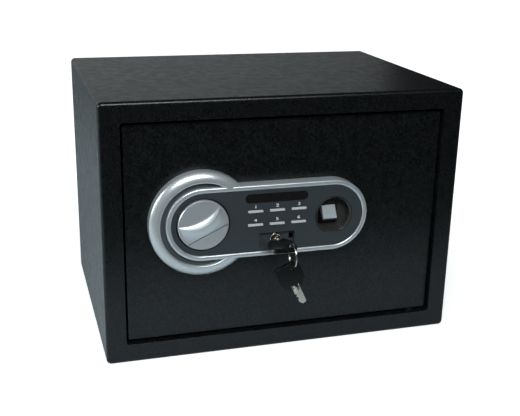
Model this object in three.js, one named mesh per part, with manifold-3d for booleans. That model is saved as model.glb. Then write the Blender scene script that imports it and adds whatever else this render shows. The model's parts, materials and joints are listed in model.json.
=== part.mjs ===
// Biometric safe: a folded steel cabinet with a recessed door, a round lock panel with a fingerprint
// reader, a knob that throws two live bolts, an emergency key lock, and a spare key on a ring.
// Millimetres. X runs to the right, Y to the back and Z up, from the centre of the base underside.
import * as THREE from 'three';
import { mergeVertices } from 'three/addons/utils/BufferGeometryUtils.js';
import { ConvexGeometry } from 'three/addons/geometries/ConvexGeometry.js';
import Module from 'manifold-3d';

const wasm = await Module();
wasm.setup();

// Cabinet
const width = 350;
const depth = 250;
const height = 250;
const sheet = 2;
const foldRadius = 3.5;
const flangeSide = 19;
const flangeEnd = 18.5;
const returnDepth = 18;
const openingRadius = 3;
const anchorHoleRadius = 5;
const anchorSpacing = 190;
const floorAnchorY = 20;
const backAnchorZ = 165;
const matThickness = 3;

// Door
const doorRecess = 5.5;
const doorSheet = 4;
const gapFree = 2.6;
const gapEnd = 2.75;
const hingeInset = 15;
const hingePinRadius = 2.5;
const swingClearance = 0.45;
const runClearance = 0.3;

// Lock panel, measured from the opening's lower left corner
const knobFromLeft = 72.5;
const knobFromBottom = 116;
const panelLength = 126;
const panelRadius = 35;
const panelRise = 13;
const panelWall = 1.8;
const rimWidth = 4;
const ringRadius = 49.8;
const ringWidth = 9.8;
const moatDrop = 3.5;
const faceDrop = 1;
const faceThickness = 2.5;

// Knob and its drive
const knobRadius = 24.3;
const knobGap = 1.1;
const gripHeight = 4.1;
const gripTurn = 25.3;
const spindleRadius = 4;
const boltTravel = 14;
const drivePinRadius = 3;

// Live bolts
const boltRadius = 9;
const upperBoltFromTop = 47.75;
const lowerBoltFromBottom = 69.75;
const boltLength = 32;
const boltTail = 22;
const carrierSheet = 3;
const studRadius = 3;

// Buttons, window and fingerprint reader
const keypadFromKnob = 6.3;
const keypadFromReader = 1;
const boardMargin = 6;
const buttonHeight = 2.7;
const buttonGap = 6.65;
const buttonInset = 2.1;
const buttonShift = 0.6;
const buttonRowPitch = 13.2;
const buttonTravel = 0.8;
const windowHeight = 9;
const windowAboveKnob = 22;
const windowToButtons = 12.5;
const readerRadius = 18.5;
const readerDepth = 10;
const readerShift = 0.9;
const padSize = 14;
const padShift = 2.7;
const padRaise = 1.6;
const padTilt = 33;

// Emergency lock and keys
const lockDrop = 19.5;
const recessLength = 35;
const recessHeight = 14.3;
const recessDepth = 3.5;
const recessShift = 0.9;
const catchWidth = 4.5;
const catchHeight = 5.8;
const catchFromEnd = 0.5;
const catchFromTop = 3.1;
const barrelRadius = 5.5;
const plugRadius = 4.3;
const bowWidth = 23.5;
const bowLength = 26.6;
const bowThickness = 4.6;
const bladeLength = 17;
const bladeWidth = 7.4;
const bladeThickness = 2;
const keyOut = 6.5;
const keyholeRadius = 2.6;
const keyholeOffset = 5;
const keyholeInset = 5.6;
const ringCentreRadius = 10.4;
const ringWire = 0.9;
const spareTilt = 25;

// Inside of the door
const coverSheet = 1.2;
const coverDepth = 35;
const coverFromBoltSide = 2.7;
const coverFromHinge = 21;
const coverFromEnds = 15;
const pillarRadius = 4;
const pillarInset = 14;
const camOffDoor = 13;
const carrierOffDoor = 19;
const cellRadius = 7.15;
const cellLength = 50;
const trayFromHingeSide = 26;
const trayFromBottom = 20;
const boardSheet = 1.6;
const boardOffDoor = 7;
const boardFromLock = 21;
const boardFromHingeSide = 26;
const boardHeight = 52;
const boardBelowKnob = 4;
const blockerFromKnob = 31.5;
const blockerTravel = 5;
const blockerRadius = 3;
const armDrop = 23;
const armHeight = 26;
const solenoidHalf = 10;
const coilLength = 22;
const chipWidth = 18;
const chipHeight = 12;
const switchHeight = 9;
const lidSheet = 1.9;
const lidEdge = 3;
const lidClipReach = 4;

// Materials
function material(color, roughness, metalness) {
  return new THREE.MeshStandardMaterial({ color, roughness, metalness });
}
const blackCoat = material('#1b1e20', 0.55, 0.3);
const silverPaint = material('#a9adad', 0.35, 0.6);
const charcoal = material('#2e3236', 0.5, 0);
const glossBlack = material('#0b0c0d', 0.12, 0);
const satinSilver = material('#9a9e9f', 0.35, 0.8);
const nickel = material('#c9c4b4', 0.2, 1);
const zincSteel = material('#b4b8ba', 0.35, 1);
const blackPlastic = material('#141516', 0.35, 0);
const nylon = material('#e8e4d8', 0.5, 0);
const copper = material('#a5562a', 0.4, 0.9);
const boardGreen = material('#1f5c33', 0.45, 0);
const felt = material('#26282b', 0.95, 0);
const redPlastic = material('#b3201c', 0.35, 0);
const cellWrap = material('#33404d', 0.4, 0.1);

// Derived places
const front = -depth / 2;
const back = depth / 2;
const openLeft = -width / 2 + flangeSide;
const openRight = width / 2 - flangeSide;
const openBottom = flangeEnd;
const openTop = height - flangeEnd;
const doorFace = front + doorRecess;
const doorBack = doorFace + doorSheet;
const pivotBehindFace = doorSheet + hingePinRadius;
const gapHinge = Math.hypot(hingeInset, pivotBehindFace) - hingeInset + swingClearance;
const doorLeft = openLeft + gapFree;
const doorRight = openRight - gapHinge;
const doorBottom = openBottom + gapEnd;
const doorTop = openTop - gapEnd;
const hingeX = doorRight - hingeInset;
const hingeY = doorFace + pivotBehindFace;
const knobX = openLeft + knobFromLeft;
const knobZ = openBottom + knobFromBottom;
const panelEndX = knobX + panelLength;
const wellRadius = knobRadius + knobGap;
const keypadLeft = knobX + wellRadius + panelWall + keypadFromKnob;
const keypadRight = panelEndX - readerRadius - keypadFromReader;
const windowLength = keypadRight - keypadLeft - 2 * boardMargin;
const buttonLength = (windowLength - 2 * buttonGap - 2 * buttonInset) / 3;
const buttonPitch = buttonLength + buttonGap;
const lockX = (keypadLeft + keypadRight) / 2;
const lockZ = knobZ - lockDrop;
const boltZ = [doorTop - upperBoltFromTop, doorBottom + lowerBoltFromBottom];
const carrierFront = doorBack + carrierOffDoor;

// How finely corners, rods and large rounds are divided
const cornerSteps = 4;
const rodSides = 16;
const roundSides = 36;

// Geometry helpers: closed geometries become solids that can be cut and joined.
function solid(geometry) {
  const bare = geometry.clone();
  for (const name of ['normal', 'uv']) bare.deleteAttribute(name);
  const merged = mergeVertices(bare, 1e-4);
  const vertProperties = new Float32Array(merged.attributes.position.array);
  const triVerts = new Uint32Array(merged.index.array);
  const made = new wasm.Manifold(new wasm.Mesh({ numProp: 3, vertProperties, triVerts }));
  if (made.volume() > 0) return made;
  return new wasm.Manifold(new wasm.Mesh({ numProp: 3, vertProperties, triVerts: triVerts.reverse() }));
}
function geometryOf(cut) {
  const data = cut.getMesh();
  const geometry = new THREE.BufferGeometry();
  geometry.setAttribute('position', new THREE.BufferAttribute(data.vertProperties, 3));
  geometry.setIndex(new THREE.BufferAttribute(data.triVerts, 1));
  return geometry;
}
function union(...pieces) {
  return pieces.reduce((sum, piece) => sum.add(piece));
}
function cut(from, ...tools) {
  return tools.reduce((rest, tool) => rest.subtract(tool), from);
}
function extruded(shape, length, curveSegments) {
  return new THREE.ExtrudeGeometry(shape, { depth: length, bevelEnabled: false, curveSegments });
}
// A shape drawn in X and Z, seen from the front, that runs from y0 back to y1
function frontPlate(shape, y0, y1, curveSegments = cornerSteps) {
  return solid(extruded(shape, y1 - y0, curveSegments).rotateX(Math.PI / 2).translate(0, y1, 0));
}
// A shape drawn in X and Y, seen from above, that runs from z0 up to z1
function topPlate(shape, z0, z1, curveSegments = cornerSteps) {
  return solid(extruded(shape, z1 - z0, curveSegments).translate(0, 0, z0));
}
function box(x0, x1, y0, y1, z0, z1) {
  const block = new THREE.BoxGeometry(x1 - x0, y1 - y0, z1 - z0);
  return solid(block.translate((x0 + x1) / 2, (y0 + y1) / 2, (z0 + z1) / 2));
}
function rodX(radius, x0, x1, y, z, segments = rodSides) {
  const rod = new THREE.CylinderGeometry(radius, radius, x1 - x0, segments).rotateZ(-Math.PI / 2);
  return solid(rod.translate((x0 + x1) / 2, y, z));
}
function rodY(radius, y0, y1, x, z, segments = rodSides) {
  const rod = new THREE.CylinderGeometry(radius, radius, y1 - y0, segments);
  return solid(rod.translate(x, (y0 + y1) / 2, z));
}
function rodZ(radius, z0, z1, x, y, segments = rodSides) {
  const rod = new THREE.CylinderGeometry(radius, radius, z1 - z0, segments).rotateX(Math.PI / 2);
  return solid(rod.translate(x, y, (z0 + z1) / 2));
}
function polygon(points) {
  return new THREE.Shape(points.map(([a, b]) => new THREE.Vector2(a, b)));
}
function roundedRect(x0, x1, z0, z1, r) {
  const shape = new THREE.Shape();
  shape.moveTo(x0 + r, z0);
  shape.lineTo(x1 - r, z0);
  shape.absarc(x1 - r, z0 + r, r, -Math.PI / 2, 0);
  shape.lineTo(x1, z1 - r);
  shape.absarc(x1 - r, z1 - r, r, 0, Math.PI / 2);
  shape.lineTo(x0 + r, z1);
  shape.absarc(x0 + r, z1 - r, r, Math.PI / 2, Math.PI);
  shape.lineTo(x0, z0 + r);
  shape.absarc(x0 + r, z0 + r, r, Math.PI, 1.5 * Math.PI);
  return shape;
}
// A closed skin through rings of points, capped at both ends
function lofted(rings) {
  const count = rings[0].length;
  const positions = rings.flat(2);
  const index = [];
  for (let i = 0; i + 1 < rings.length; i++) {
    for (let j = 0; j < count; j++) {
      const a = i * count + j;
      const b = i * count + (j + 1) % count;
      index.push(a, b, b + count, a, b + count, a + count);
    }
  }
  const last = (rings.length - 1) * count;
  for (let j = 1; j + 1 < count; j++) {
    index.push(0, j + 1, j);
    index.push(last, last + j, last + j + 1);
  }
  return indexed(positions, index);
}
function indexed(positions, index) {
  const geometry = new THREE.BufferGeometry();
  geometry.setAttribute('position', new THREE.Float32BufferAttribute(positions, 3));
  geometry.setIndex(index);
  return geometry;
}
// A profile of radius and height swept round stations, as a racetrack or a circle, from the door's face
const arcSteps = roundSides;
function racetrack(leftX, rightX) {
  const stations = [];
  for (let i = 0; i < arcSteps; i++) {
    const angle = -Math.PI / 2 + 2 * Math.PI * i / arcSteps;
    const centre = i < arcSteps / 2 ? rightX : leftX;
    stations.push([centre, angle]);
    if (i === arcSteps / 2 && leftX < rightX) stations.splice(-1, 0, [rightX, angle]);
  }
  if (leftX < rightX) stations.push([leftX, 1.5 * Math.PI]);
  return stations;
}
function sweptRound(profile, stations, z) {
  const positions = [];
  const index = [];
  const count = profile.length;
  for (const [x, angle] of stations) {
    for (const [r, h] of profile) {
      positions.push(x + r * Math.cos(angle), doorFace - h, z + r * Math.sin(angle));
    }
  }
  for (let i = 0; i < stations.length; i++) {
    for (let j = 0; j < count; j++) {
      const a = i * count + j;
      const b = i * count + (j + 1) % count;
      const c = ((i + 1) % stations.length) * count;
      index.push(a, c + (j + 1) % count, b, a, c + j, c + (j + 1) % count);
    }
  }
  return solid(indexed(positions, index));
}
// A racetrack solid that runs from y0 back to y1
function racetrackPlate(radius, y0, y1, leftX = knobX, rightX = panelEndX) {
  const rings = [y1, y0].map((y) => racetrack(leftX, rightX).map(([x, angle]) =>
    [x + radius * Math.cos(angle), y, knobZ + radius * Math.sin(angle)]));
  return solid(lofted(rings));
}
// A profile of radius and y turned about a line along Y
function turnedY(profile, x, z, segments = roundSides) {
  const points = profile.map(([r, y]) => new THREE.Vector2(r, y));
  return solid(new THREE.LatheGeometry(points, segments).translate(x, 0, z));
}

const group = new THREE.Group();
function add(name, piece, finish, place = group) {
  const geometry = geometryOf(piece);
  geometry.computeVertexNormals();
  const mesh = new THREE.Mesh(geometry, finish);
  mesh.name = name;
  place.add(mesh);
  return mesh;
}

// Cabinet body: one folded sheet with rounded front folds, a front flange and a return behind it
const cornerRadius = foldRadius + 1;
const foldSteps = 4;
function rectRing(inset, radius, y) {
  const ring = [];
  const corners = [
    [width / 2, 0, -90], [width / 2, height, 0], [-width / 2, height, 90], [-width / 2, 0, 180],
  ];
  for (const [x, z, start] of corners) {
    const cx = x - Math.sign(x) * (inset + radius);
    const cz = z + (z > 0 ? -1 : 1) * (inset + radius);
    for (let i = 0; i <= foldSteps; i++) {
      const angle = THREE.MathUtils.degToRad(start + 90 * i / foldSteps);
      ring.push([cx + radius * Math.cos(angle), y, cz + radius * Math.sin(angle)]);
    }
  }
  return ring;
}
function foldedBox(inset, yFront, yBack) {
  const rings = [rectRing(inset, cornerRadius - inset, yBack)];
  const fold = foldRadius - inset;
  for (let i = 0; i <= foldSteps; i++) {
    const angle = (Math.PI / 2) * i / foldSteps;
    const more = fold * (1 - Math.cos(angle));
    rings.push(rectRing(inset + more, cornerRadius - inset - more, yFront + fold * (1 - Math.sin(angle))));
  }
  return solid(lofted(rings));
}
const openingShape = roundedRect(openLeft, openRight, openBottom, openTop, openingRadius);
const returnShape = roundedRect(openLeft - sheet, openRight + sheet, openBottom - sheet, openTop + sheet,
  openingRadius + sheet);
const stopLength = 22;
const stopReach = gapEnd + 4;
const stopFree = 8;
function doorStop(z0, z1) {
  const y0 = doorBack + runClearance;
  return box(openLeft + stopFree, openLeft + stopFree + stopLength, y0, y0 + 2 * sheet, z0, z1);
}
const matInset = 6;
const anchorX = [-anchorSpacing / 2, anchorSpacing / 2];
let shell = cut(foldedBox(0, front, back), foldedBox(sheet, front + sheet, back + 1));
shell = union(shell, frontPlate(returnShape, front + sheet / 2, front + returnDepth));
shell = cut(shell, frontPlate(openingShape, front - 1, front + returnDepth + 1));
shell = union(shell, doorStop(openTop - stopReach, openTop + sheet / 2));
shell = union(shell, doorStop(openBottom - sheet / 2, openBottom + stopReach));
for (const x of anchorX) shell = cut(shell, rodZ(anchorHoleRadius, -1, sheet + 1, x, floorAnchorY));
const pinHoles = [0.5 * flangeEnd, height - 0.5 * flangeEnd];
shell = cut(shell, rodZ(hingePinRadius + runClearance, ...pinHoles, hingeX, hingeY));
add('body_shell', shell, blackCoat);

// Back panel welded flush inside the rear edge of the body
const backOutline = roundedRect(-width / 2 + sheet, width / 2 - sheet, sheet, height - sheet, cornerRadius);
let backPanel = frontPlate(backOutline, back - sheet, back);
for (const x of anchorX) {
  backPanel = cut(backPanel, rodY(anchorHoleRadius, back - sheet - 1, back + 1, x, backAnchorZ));
}
add('back_panel', backPanel, blackCoat);

// Floor mat with holes over the floor's anchor holes
const matFront = front + returnDepth + 2 * matInset;
const matShape = roundedRect(-width / 2 + sheet + matInset, width / 2 - sheet - matInset, matFront,
  back - sheet - matInset, matInset);
const matHoleMargin = 2;
let mat = topPlate(matShape, sheet, sheet + matThickness);
for (const x of anchorX) {
  mat = cut(mat, rodZ(anchorHoleRadius + matHoleMargin, 0, sheet + matThickness + 1, x, floorAnchorY));
}
add('floor_mat', mat, felt);

// Hinge bushes welded behind the flange, above and below the opening, where the door's pins turn
const bushWall = 3;
const bushLength = 9;
function bush(z0, z1) {
  const outer = rodZ(hingePinRadius + bushWall, z0, z1, hingeX, hingeY);
  return cut(outer, rodZ(hingePinRadius + runClearance, z0 - 1, z1 + 1, hingeX, hingeY));
}
add('hinge_bush_top', bush(openTop + sheet, openTop + sheet + bushLength), zincSteel);
add('hinge_bush_bottom', bush(openBottom - sheet - bushLength, openBottom - sheet), zincSteel);

// Door: a flat plate with weld studs on its back, and hinge knuckles with turned pins
const doorCorner = 2;
const spindleHole = spindleRadius + 2.2;
const barrelHole = barrelRadius + 0.2;
const cableHoleRadius = 7;
const cableHoleX = lockX + barrelHole + cableHoleRadius + 1.5;
const cableHoleZ = lockZ + barrelHole + cableHoleRadius + 6;
const coverLeft = doorLeft + coverFromBoltSide;
const coverRight = hingeX - coverFromHinge;
const coverBottom = doorBottom + coverFromEnds;
const coverTop = doorTop - coverFromEnds;
const coverInside = doorBack + coverDepth - coverSheet;
const pillarPlaces = [coverLeft + pillarInset, coverRight - pillarInset]
  .flatMap((x) => [coverBottom + pillarInset, coverTop - pillarInset].map((z) => [x, z]));
const doorOutline = roundedRect(doorLeft, doorRight, doorBottom, doorTop, doorCorner);
let doorPlate = frontPlate(doorOutline, doorFace, doorBack);
for (const [x, z] of pillarPlaces) {
  doorPlate = union(doorPlate, rodY(pillarRadius, doorBack - 1, coverInside, x, z));
}
doorPlate = cut(doorPlate,
  rodY(spindleHole, doorFace - 1, doorBack + 1, knobX, knobZ),
  rodY(barrelHole, doorFace - 1, doorBack + 1, lockX, lockZ),
  rodY(cableHoleRadius, doorFace - 1, doorBack + 1, cableHoleX, cableHoleZ));
add('door_plate', doorPlate, blackCoat);

const knuckleWidth = 16;
const knuckleDepth = 8;
const knuckleLength = 26;
const pinLength = gapEnd + sheet + bushLength;
function knuckle(end, inward) {
  const near = end + inward;
  const far = near + inward * knuckleLength;
  const half = knuckleWidth / 2;
  const slope = 4;
  const outline = polygon([
    [hingeX - half, doorBack], [hingeX + half, doorBack], [hingeX + half, doorBack + knuckleDepth - slope],
    [hingeX + half - slope, doorBack + knuckleDepth], [hingeX - half + slope, doorBack + knuckleDepth],
    [hingeX - half, doorBack + knuckleDepth - slope],
  ]);
  const block = topPlate(outline, Math.min(near, far), Math.max(near, far));
  const tip = end - inward * pinLength;
  const root = near + inward * 2;
  return union(block, rodZ(hingePinRadius, Math.min(tip, root), Math.max(tip, root), hingeX, hingeY));
}
add('hinge_knuckle_top', knuckle(doorTop, -1), zincSteel);
add('hinge_knuckle_bottom', knuckle(doorBottom, 1), zincSteel);
const washer = cut(rodZ(hingePinRadius + bushWall, openBottom, doorBottom, hingeX, hingeY),
  rodZ(hingePinRadius + runClearance, openBottom - 1, doorBottom + 2, hingeX, hingeY));
add('hinge_washer', washer, blackPlastic);

// Lock panel trim: a domed ring that runs into a racetrack bezel, moulded in one
const crestRadius = ringRadius - 0.7 * ringWidth;
const moatOuter = ringRadius - ringWidth;
const ringFoot = 2;
const ringProfile = [[moatOuter, 0], [ringRadius, 0]];
const domeSteps = 5;
for (let i = 0; i <= domeSteps; i++) {
  const angle = (Math.PI / 2) * i / domeSteps;
  ringProfile.push([
    crestRadius + (ringRadius - crestRadius) * Math.cos(angle) ** 0.85,
    ringFoot + (panelRise + 0.2 - ringFoot) * Math.sin(angle) ** 0.85,
  ]);
}
ringProfile.push([moatOuter + 0.9, panelRise - 0.2], [moatOuter, panelRise - 1.1]);
const rimInner = panelRadius - rimWidth;
const rimProfile = [
  [rimInner, 0], [panelRadius, 0], [panelRadius, panelRise - 1.5], [panelRadius - 0.5, panelRise - 0.5],
  [panelRadius - 1.5, panelRise], [rimInner + 0.9, panelRise - 0.2], [rimInner, panelRise - 1.6],
];
const ringAlone = cut(sweptRound(ringProfile, racetrack(knobX, knobX), knobZ),
  racetrackPlate(panelRadius - rimWidth / 2, doorFace - 2 * panelRise, doorFace + 1));
add('panel_bezel', cut(union(ringAlone, sweptRound(rimProfile, racetrack(knobX, panelEndX), knobZ)),
  racetrackPlate(rimInner, doorFace - 2 * panelRise, doorFace + 1)), silverPaint);

// Dark infill that shows as a moat between the ring and the bezel
const moatTop = doorFace - (panelRise - moatDrop);
const fitGap = 0.2;
const disc = racetrackPlate(moatOuter - fitGap, moatTop, doorFace, knobX, knobX);
add('moat_infill', cut(disc, racetrackPlate(panelRadius + fitGap, moatTop - 1, doorFace + 1)), charcoal);

// Panel face: a hollow moulding with a dished knob well, button slots, a key recess and a reader hole
const faceY = doorFace - (panelRise - faceDrop);
const underFace = faceY + faceThickness;
const recessX = lockX + recessShift;
const recessZ = lockZ;
const recessRadius = 1.6;
const recessFloor = faceY + recessDepth;
const windowX = lockX;
const windowZ = knobZ + windowAboveKnob;
const buttonTopZ = windowZ - windowToButtons;
const readerX = panelEndX + readerShift;
const readerZ = knobZ;
const readerFlat = readerZ - 0.87 * readerRadius;
const buttonSlot = 0.25;
function slotShape(x, z, length, tall, radius) {
  return roundedRect(x - length / 2, x + length / 2, z - tall / 2, z + tall / 2, radius);
}
const recessShape = slotShape(recessX, recessZ, recessLength, recessHeight, recessRadius);
const catchRight = recessX + recessLength / 2 - catchFromEnd;
const catchTop = recessZ + recessHeight / 2 - catchFromTop;
const recessOuter = slotShape(recessX, recessZ, recessLength + 2 * panelWall, recessHeight + 2 * panelWall,
  recessRadius + panelWall);
function readerDisc(radius, lower, y0, y1) {
  return cut(rodY(radius, y0, y1, readerX, readerZ, roundSides),
    box(readerX - 2 * radius, readerX + 2 * radius, y0 - 1, y1 + 1, readerZ - 2 * radius, lower));
}
const skirt = racetrackPlate(rimInner - fitGap - panelWall, underFace, doorFace + 1);
let face = cut(racetrackPlate(rimInner - fitGap, faceY, doorFace), skirt);
face = union(face,
  rodY(wellRadius + panelWall, faceY, doorFace, knobX, knobZ, roundSides),
  frontPlate(recessOuter, faceY, recessFloor + panelWall));
const bossInset = 2.7;
const bossRadius = 1.8;
const keypadTop = windowZ + 3;
const keypadBottom = buttonTopZ - buttonRowPitch - 4;
const keypadFront = doorFace - 4;
for (const x of [keypadLeft + bossInset, keypadRight - bossInset]) {
  for (const z of [keypadTop - bossInset, keypadBottom + bossInset]) {
    face = union(face, rodY(bossRadius, underFace - 0.5, keypadFront, x, z, 10));
  }
}
const dish = turnedY([
  [0, faceY - 1], [rimInner, faceY - 1], [rimInner, faceY], [wellRadius + 1, faceY + 1.3], [0, faceY + 1.3],
].reverse(), knobX, knobZ, roundSides);
face = cut(face, dish,
  rodY(wellRadius, faceY - 1, doorFace + 1, knobX, knobZ, roundSides),
  frontPlate(slotShape(windowX, windowZ, windowLength, windowHeight, windowHeight / 2 - 0.1),
    faceY - 1, underFace + 1),
  readerDisc(readerRadius + fitGap, readerFlat - fitGap, faceY - 1, doorFace + 1),
  frontPlate(recessShape, faceY - 1, recessFloor),
  rodY(barrelHole, faceY - 1, doorFace + 1, lockX, lockZ),
  box(catchRight - catchWidth, catchRight, recessFloor - 1, recessFloor + panelWall + 1,
    catchTop - catchHeight, catchTop));
const buttons = [];
for (let row = 0; row < 2; row++) {
  for (let column = 0; column < 3; column++) {
    const x = windowX + buttonShift + (column - 1) * buttonPitch;
    const z = buttonTopZ - row * buttonRowPitch;
    buttons.push([x, z]);
    const slot = slotShape(x, z, buttonLength + 2 * buttonSlot, buttonHeight + 2 * buttonSlot, 1);
    face = cut(face, frontPlate(slot, faceY - 1, underFace + 1, 2));
  }
}
add('panel_face', face, charcoal);

// Display window: a gloss strip that drops into its slot, held by a flange behind the face
const windowInner = slotShape(windowX, windowZ, windowLength - 2 * fitGap, windowHeight - 2 * fitGap,
  windowHeight / 2 - 0.4);
const windowFlange = slotShape(windowX, windowZ, windowLength - 1, windowHeight + 3, 2);
add('display_window', union(frontPlate(windowInner, faceY + 0.3, underFace + 0.5),
  frontPlate(windowFlange, underFace + 0.02, underFace + 1.2)), glossBlack);

// Keypad board behind the buttons, on the face's bosses
const keypadShape = roundedRect(keypadLeft, keypadRight, keypadBottom, keypadTop, 1.5);
add('keypad_board', frontPlate(keypadShape, keypadFront, keypadFront + boardSheet), boardGreen);

// Six button bars, each with a flange that keeps it behind the face and a stem over its switch
buttons.forEach(([x, z], i) => {
  const bar = frontPlate(slotShape(x, z, buttonLength, buttonHeight, 0.8), faceY - 0.7, underFace + 0.5, 2);
  const flange = frontPlate(slotShape(x, z, buttonLength + 2, buttonHeight + 2, 1),
    underFace + 0.3, underFace + 1.3, 1);
  const stem = box(x - 4, x + 4, underFace + 1, keypadFront - buttonTravel - 0.4, z - 1.2, z + 1.2);
  add(`button_${i + 1}`, union(bar, flange, stem), satinSilver);
});

// Fingerprint reader: a round well with a flat foot, and a tilted block that carries the pad
const readerFloor = faceY + readerDepth;
const readerWall = 1.6;
const readerLip = 1.6;
const wellOuter = union(readerDisc(readerRadius, readerFlat, faceY, readerFloor + readerWall),
  readerDisc(readerRadius + readerLip, readerFlat - readerLip, underFace + 0.02, underFace + 1.2));
const wellInner = readerDisc(readerRadius - readerWall, readerFlat + readerWall, faceY - 1, readerFloor);
const mouthInner = readerRadius - readerWall;
const mouthCone = turnedY([
  [0, faceY + 1.1], [mouthInner, faceY + 1.1], [readerRadius - 0.3, faceY - 0.2], [0, faceY - 0.2],
], readerX, readerZ, roundSides);
const mouthFoot = box(readerX - 2 * readerRadius, readerX + 2 * readerRadius, faceY - 2, faceY + 2,
  readerZ - 2 * readerRadius, readerFlat + 0.6);
const mouth = cut(mouthCone, mouthFoot);
const tilt = THREE.MathUtils.degToRad(padTilt);
const padX = readerX - padShift;
const padZ = readerZ + padRaise;
const padY = faceY + 0.56 * readerDepth;
// A point of the reader block: across, up the tilted face, and out from it
function onPad(across, up, out) {
  return new THREE.Vector3(
    padX + across,
    padY + up * Math.sin(tilt) - out * Math.cos(tilt),
    padZ + up * Math.cos(tilt) + out * Math.sin(tilt));
}
const padHalf = padSize / 2;
const blockHalf = padHalf + 0.4;
const blockTop = [-1, 1].flatMap((s) => [-1, 1].map((t) => onPad(s * blockHalf, t * blockHalf, -0.3)));
const footHalf = padHalf + 3;
const footLow = padZ - padHalf - 6;
const footHigh = padZ + padHalf + 1;
const blockFoot = [[-footHalf, footLow], [footHalf, footLow], [-footHalf, footHigh], [footHalf, footHigh]]
  .map(([across, z]) => new THREE.Vector3(padX + across, readerFloor + readerWall / 2, z));
const readerBlock = solid(new ConvexGeometry([...blockTop, ...blockFoot]));
const insideWell = readerDisc(readerRadius - readerWall / 2, readerFlat + readerWall / 2, faceY - 3,
  readerFloor + readerWall / 2);
add('reader_well', union(cut(wellOuter, wellInner, mouth), readerBlock.intersect(insideWell)), glossBlack);
const padPoints = [-1, 1].flatMap((s) => [-1, 1].flatMap((t) => [
  onPad(s * padHalf, t * padHalf, 0), onPad(s * (padHalf - 0.5), t * (padHalf - 0.5), 1.2),
]));
add('reader_pad', solid(new ConvexGeometry(padPoints)), satinSilver);

// Knob: a flat disc with a bowed ridge. From a crease the ridge rises, rounds over its crest and falls into
// a scoop for the fingers, which ends at a chord.
const knobBack = doorFace - 1.5;
const knobRim = doorFace - panelRise + 0.2;
const chordOffset = 0.424 * knobRadius;
const creaseMiddle = 0.283 * knobRadius;
const creaseBow = 0.18 * knobRadius;
const riseWidth = 0.115 * knobRadius;
const ridgeReach = 0.875 * knobRadius;
const scoopDepth = 0.025 * knobRadius;
function ridgeShare(s) {
  return Math.max(0, 1 - (s / ridgeReach) ** 2);
}
function creaseLine(s) {
  return creaseMiddle + creaseBow * (s / knobRadius) ** 2;
}
function crestLine(s) {
  return creaseLine(s) - riseWidth * Math.max(0.12, ridgeShare(s));
}
function knobFaceHeight(s, t) {
  const crease = creaseLine(s);
  const crest = crestLine(s);
  if (t >= crease || t <= -chordOffset) return 0;
  const ridge = gripHeight * ridgeShare(s) ** 0.8;
  if (t >= crest) return ridge * Math.sin(0.5 * Math.PI * (crease - t) / (crease - crest));
  const down = (crest - t) / (crest + chordOffset);
  const fall = 0.5 + 0.5 * Math.cos(Math.PI * Math.min(1, down / 0.95));
  return ridge * fall - scoopDepth * ridgeShare(s) * Math.sin(Math.PI * down);
}
const knobSide = 1.08 * knobRadius;
const alongSteps = 20;
const riseSteps = 4;
const fallSteps = 7;
function acrossRow(s) {
  const crease = creaseLine(s);
  const crest = crestLine(s);
  const row = [knobSide];
  for (let i = 0; i < riseSteps; i++) row.push(crease + (crest - crease) * i / riseSteps);
  for (let i = 0; i < fallSteps; i++) row.push(crest - (crest + chordOffset) * i / fallSteps);
  row.push(-chordOffset, -knobSide);
  return row;
}
function knobSurface() {
  const top = [];
  const low = [];
  for (let i = 0; i <= alongSteps; i++) {
    const s = knobSide * (2 * i / alongSteps - 1);
    for (const t of acrossRow(s)) {
      top.push([s, t, knobFaceHeight(s, t)]);
      low.push([s, t, knobBack - knobRim]);
    }
  }
  const columns = acrossRow(0).length;
  const index = [];
  const under = top.length;
  function quad(a, b, c, d) {
    index.push(a, b, c, a, c, d);
  }
  for (let i = 0; i < alongSteps; i++) {
    for (let j = 0; j + 1 < columns; j++) {
      const a = i * columns + j;
      quad(a, a + 1, a + columns + 1, a + columns);
      quad(under + a, under + a + columns, under + a + columns + 1, under + a + 1);
    }
    const first = i * columns;
    const lastOne = first + columns - 1;
    quad(first, first + columns, under + first + columns, under + first);
    quad(lastOne, under + lastOne, under + lastOne + columns, lastOne + columns);
  }
  for (let j = 0; j + 1 < columns; j++) {
    const end = alongSteps * columns + j;
    quad(j, under + j, under + j + 1, j + 1);
    quad(end, end + 1, under + end + 1, under + end);
  }
  const turn = THREE.MathUtils.degToRad(gripTurn);
  const positions = [...top.map(([s, t, h]) => [s, t, -h]), ...low].flatMap(([s, t, y]) => [
    knobX + s * Math.cos(turn) - t * Math.sin(turn),
    knobRim + y,
    knobZ + s * Math.sin(turn) + t * Math.cos(turn),
  ]);
  return solid(indexed(positions, index));
}
const knobBlank = turnedY([
  [0, knobBack], [knobRadius, knobBack], [knobRadius, knobRim + 0.7], [knobRadius - 0.7, knobRim],
  [knobRadius - 0.7, knobRim - gripHeight - 1], [0, knobRim - gripHeight - 1],
], knobX, knobZ, roundSides);
const spindleFront = knobBack - 0.7 * (panelRise - 1.5);
let knob = knobSurface();
knob = cut(knob.intersect(knobBlank), rodY(spindleRadius + 0.05, spindleFront, knobBack + 1, knobX, knobZ));
add('knob', knob, satinSilver);

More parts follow.
